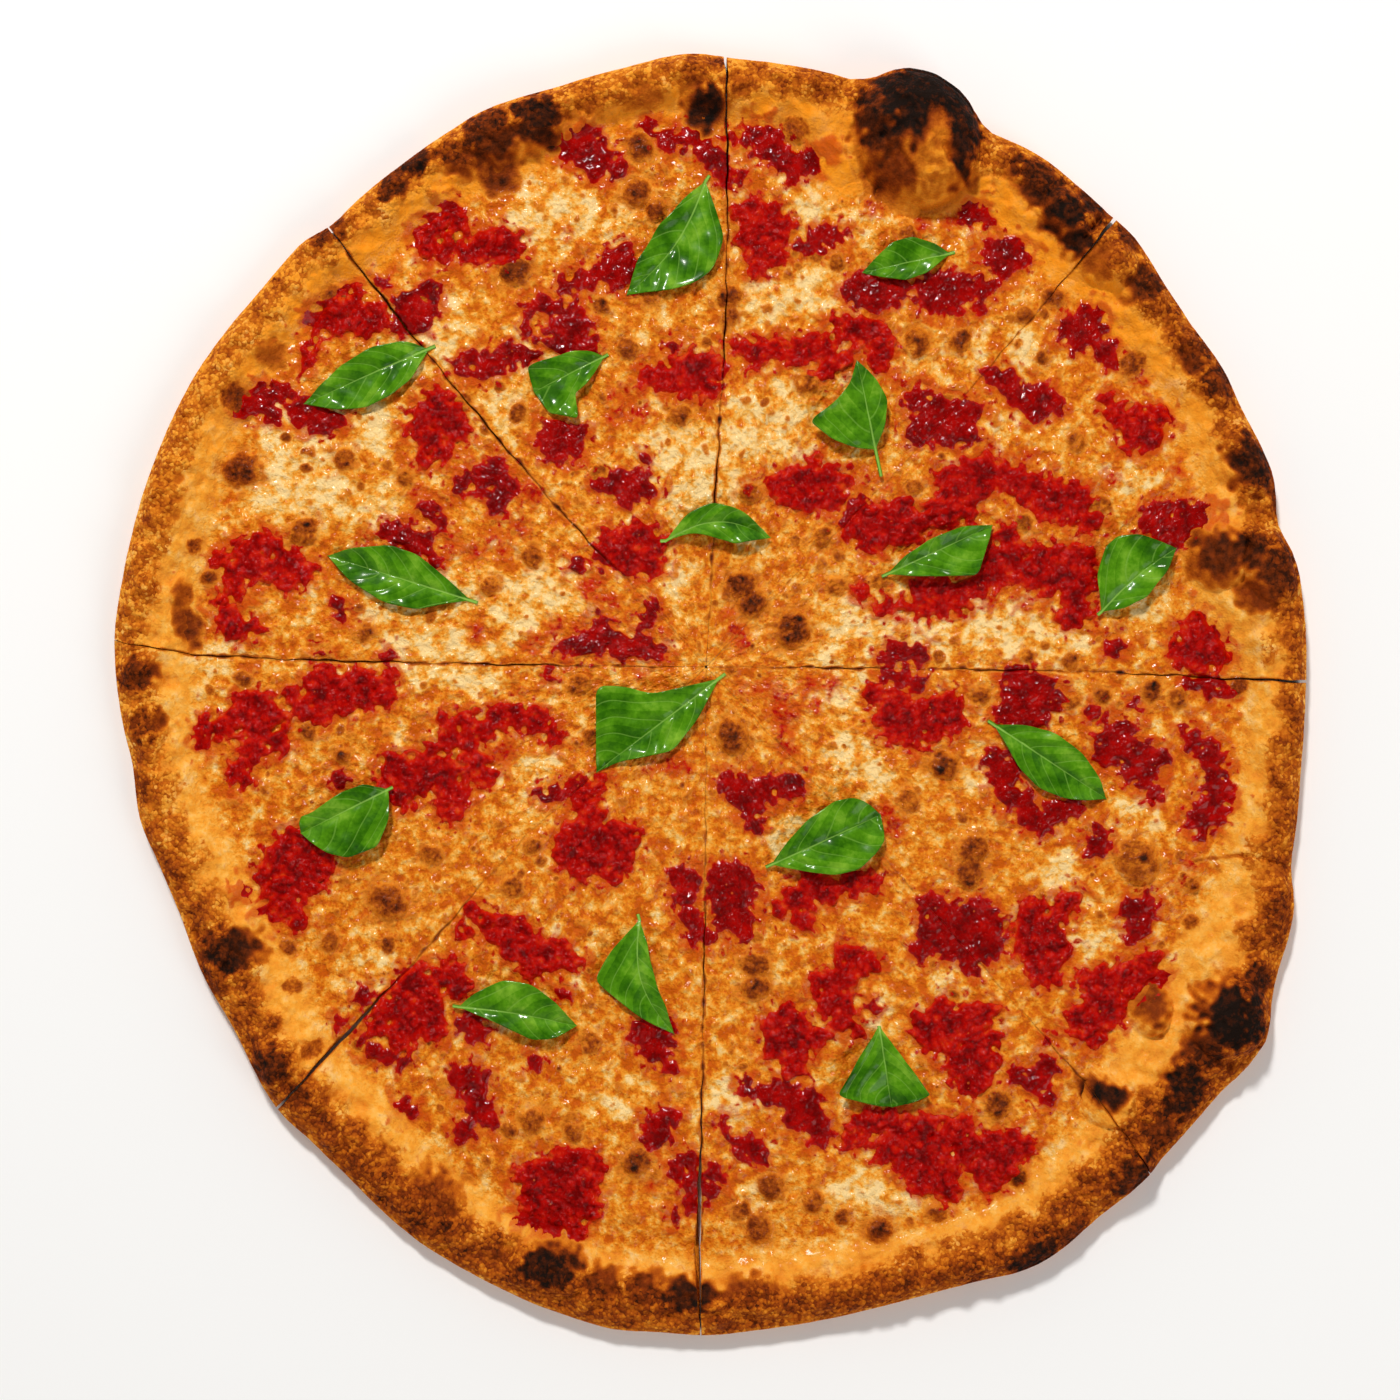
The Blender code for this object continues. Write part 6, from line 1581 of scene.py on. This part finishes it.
# Painted light and shade: the fraction of the vein count makes one side of each pucker lighter than the
# other.
green_and_pucker_shade = total(tree, (softly, 1.5), (finely, 0.4), (vein_place, 0.14), (towards_tip, -0.1), (1.0, -0.47))
green = colour_ramp(tree, green_and_pucker_shade, (
    (0.0, light_colour(24, 68, 1)), (0.3, light_colour(48, 102, 4)), (0.6, light_colour(80, 138, 14)),
    (1.0, light_colour(134, 182, 50))))
green = colour_mix(tree, arithmetic(tree, "MULTIPLY", side_vein, 0.4), green, light_colour(126, 174, 66))
stem_light = arithmetic(tree, "MULTIPLY", midrib, total(tree, (towards_tip, -0.55), (1.0, 0.8)))
green = colour_mix(tree, stem_light, green, light_colour(146, 192, 84))
tree.links.new(green, shader.inputs["Base Color"])
connect(tree, total(tree, (finely, 0.3), (1.0, 0.2)), shader.inputs["Roughness"])
connect(tree, total(tree, (side_vein, -0.5), (finely, 0.5), (midrib, -0.3)), bump.inputs["Height"])

# %% [markdown]
# ## Dress every piece
#
# Each new piece stands for one solid of the imported part, which is hidden, and rides on the one
# body of the pizza.

# %% Assign materials and places
def dress(piece, look, node):
    """Give a piece its material and let it stand for a solid of the part."""
    piece.data.materials.clear()
    piece.data.materials.append(look)
    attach(piece, "root")
    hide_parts(node)


for number, (crust, cheese) in enumerate(zip(crusts, cheeses), start=1):
    dress(crust, crust_look, f"slice_{number}_crust")
    dress(cheese, cheese_look, f"slice_{number}_cheese")
for (name, _, _), dollop in zip(SAUCE, dollops):
    dress(dollop, sauce_look, name)
for number, leaf in enumerate(leaves, start=1):
    dress(leaf, basil_look, f"basil_{number:02d}")
print("dressed", len(crusts) + len(cheeses) + len(dollops) + len(leaves), "pieces")

# %% [markdown]
# ## Floor, light and camera
#
# The pizza lies on a plain pale floor. The key light stands beyond the top of the picture, halfway
# between the floor and overhead, so that it draws the lumps. It is small for its distance, and
# gives the sauce crisp glints. A large weak one fills the shadows from the lower right. The sky is
# bright near the horizon and dim overhead, because a bright one above would veil every wet surface.
# The camera looks straight down, far enough away that the picture takes in 484 mm.

# %% Floor
bpy.ops.object.select_all(action="DESELECT")
bpy.ops.mesh.primitive_plane_add(size=6.0, location=(0, 0, 0))
floor = bpy.context.object
floor.name = "floor"
floor_look = bpy.data.materials.new("pale_floor")
floor_look.use_nodes = True
floor_shader = floor_look.node_tree.nodes["Principled BSDF"]
floor_shader.inputs["Base Color"].default_value = light_colour(250, 250, 250)
floor_shader.inputs["Roughness"].default_value = 0.6
floor.data.materials.append(floor_look)

# %% Light
def soft_light(name, place, size, power, tint):
    """A square soft light that faces the middle of the pizza."""
    bpy.ops.object.light_add(type="AREA", location=place)
    lamp = bpy.context.object
    lamp.name = name
    lamp.data.size = size
    lamp.data.energy = power
    lamp.data.color = tint
    lamp.rotation_euler = (-Vector(place)).to_track_quat("-Z", "Y").to_euler()


soft_light("key_light", (-0.51, 1.79, 2.22), 0.3, 61.7, (1.0, 0.98, 0.95))
soft_light("fill_light", (1.5, -1.3, 1.6), 1.2, 14.0, (1.0, 0.99, 0.97))
world = bpy.data.worlds.new("studio")
bpy.context.scene.world = world
world.use_nodes = True
sky = world.node_tree
direction = add_node(sky, "ShaderNodeSeparateXYZ")
sky.links.new(add_node(sky, "ShaderNodeTexCoord").outputs["Generated"], direction.inputs[0])
height = arithmetic(sky, "ABSOLUTE", direction.outputs[2], 0.0)
sky.nodes["Background"].inputs["Color"].default_value = (1.0, 0.99, 0.97, 1.0)
sky.links.new(total(sky, (height, -0.86), (1.0, 0.92)), sky.nodes["Background"].inputs["Strength"])
bpy.context.scene.view_settings.view_transform = "Standard"

# %% Camera
FRAME_WIDTH = 0.4844
LENS, SENSOR = 85.0, 36.0
VIEW_CENTRE = (-0.0035, -0.0018)
READING_HEIGHT = 0.006

camera = bpy.data.cameras.new("camera")
camera.lens = LENS
camera.sensor_width = SENSOR
camera_object = bpy.data.objects.new("camera", camera)
bpy.context.scene.collection.objects.link(camera_object)
camera_object.location = (*VIEW_CENTRE, READING_HEIGHT + FRAME_WIDTH * LENS / SENSOR)
bpy.context.scene.camera = camera_object
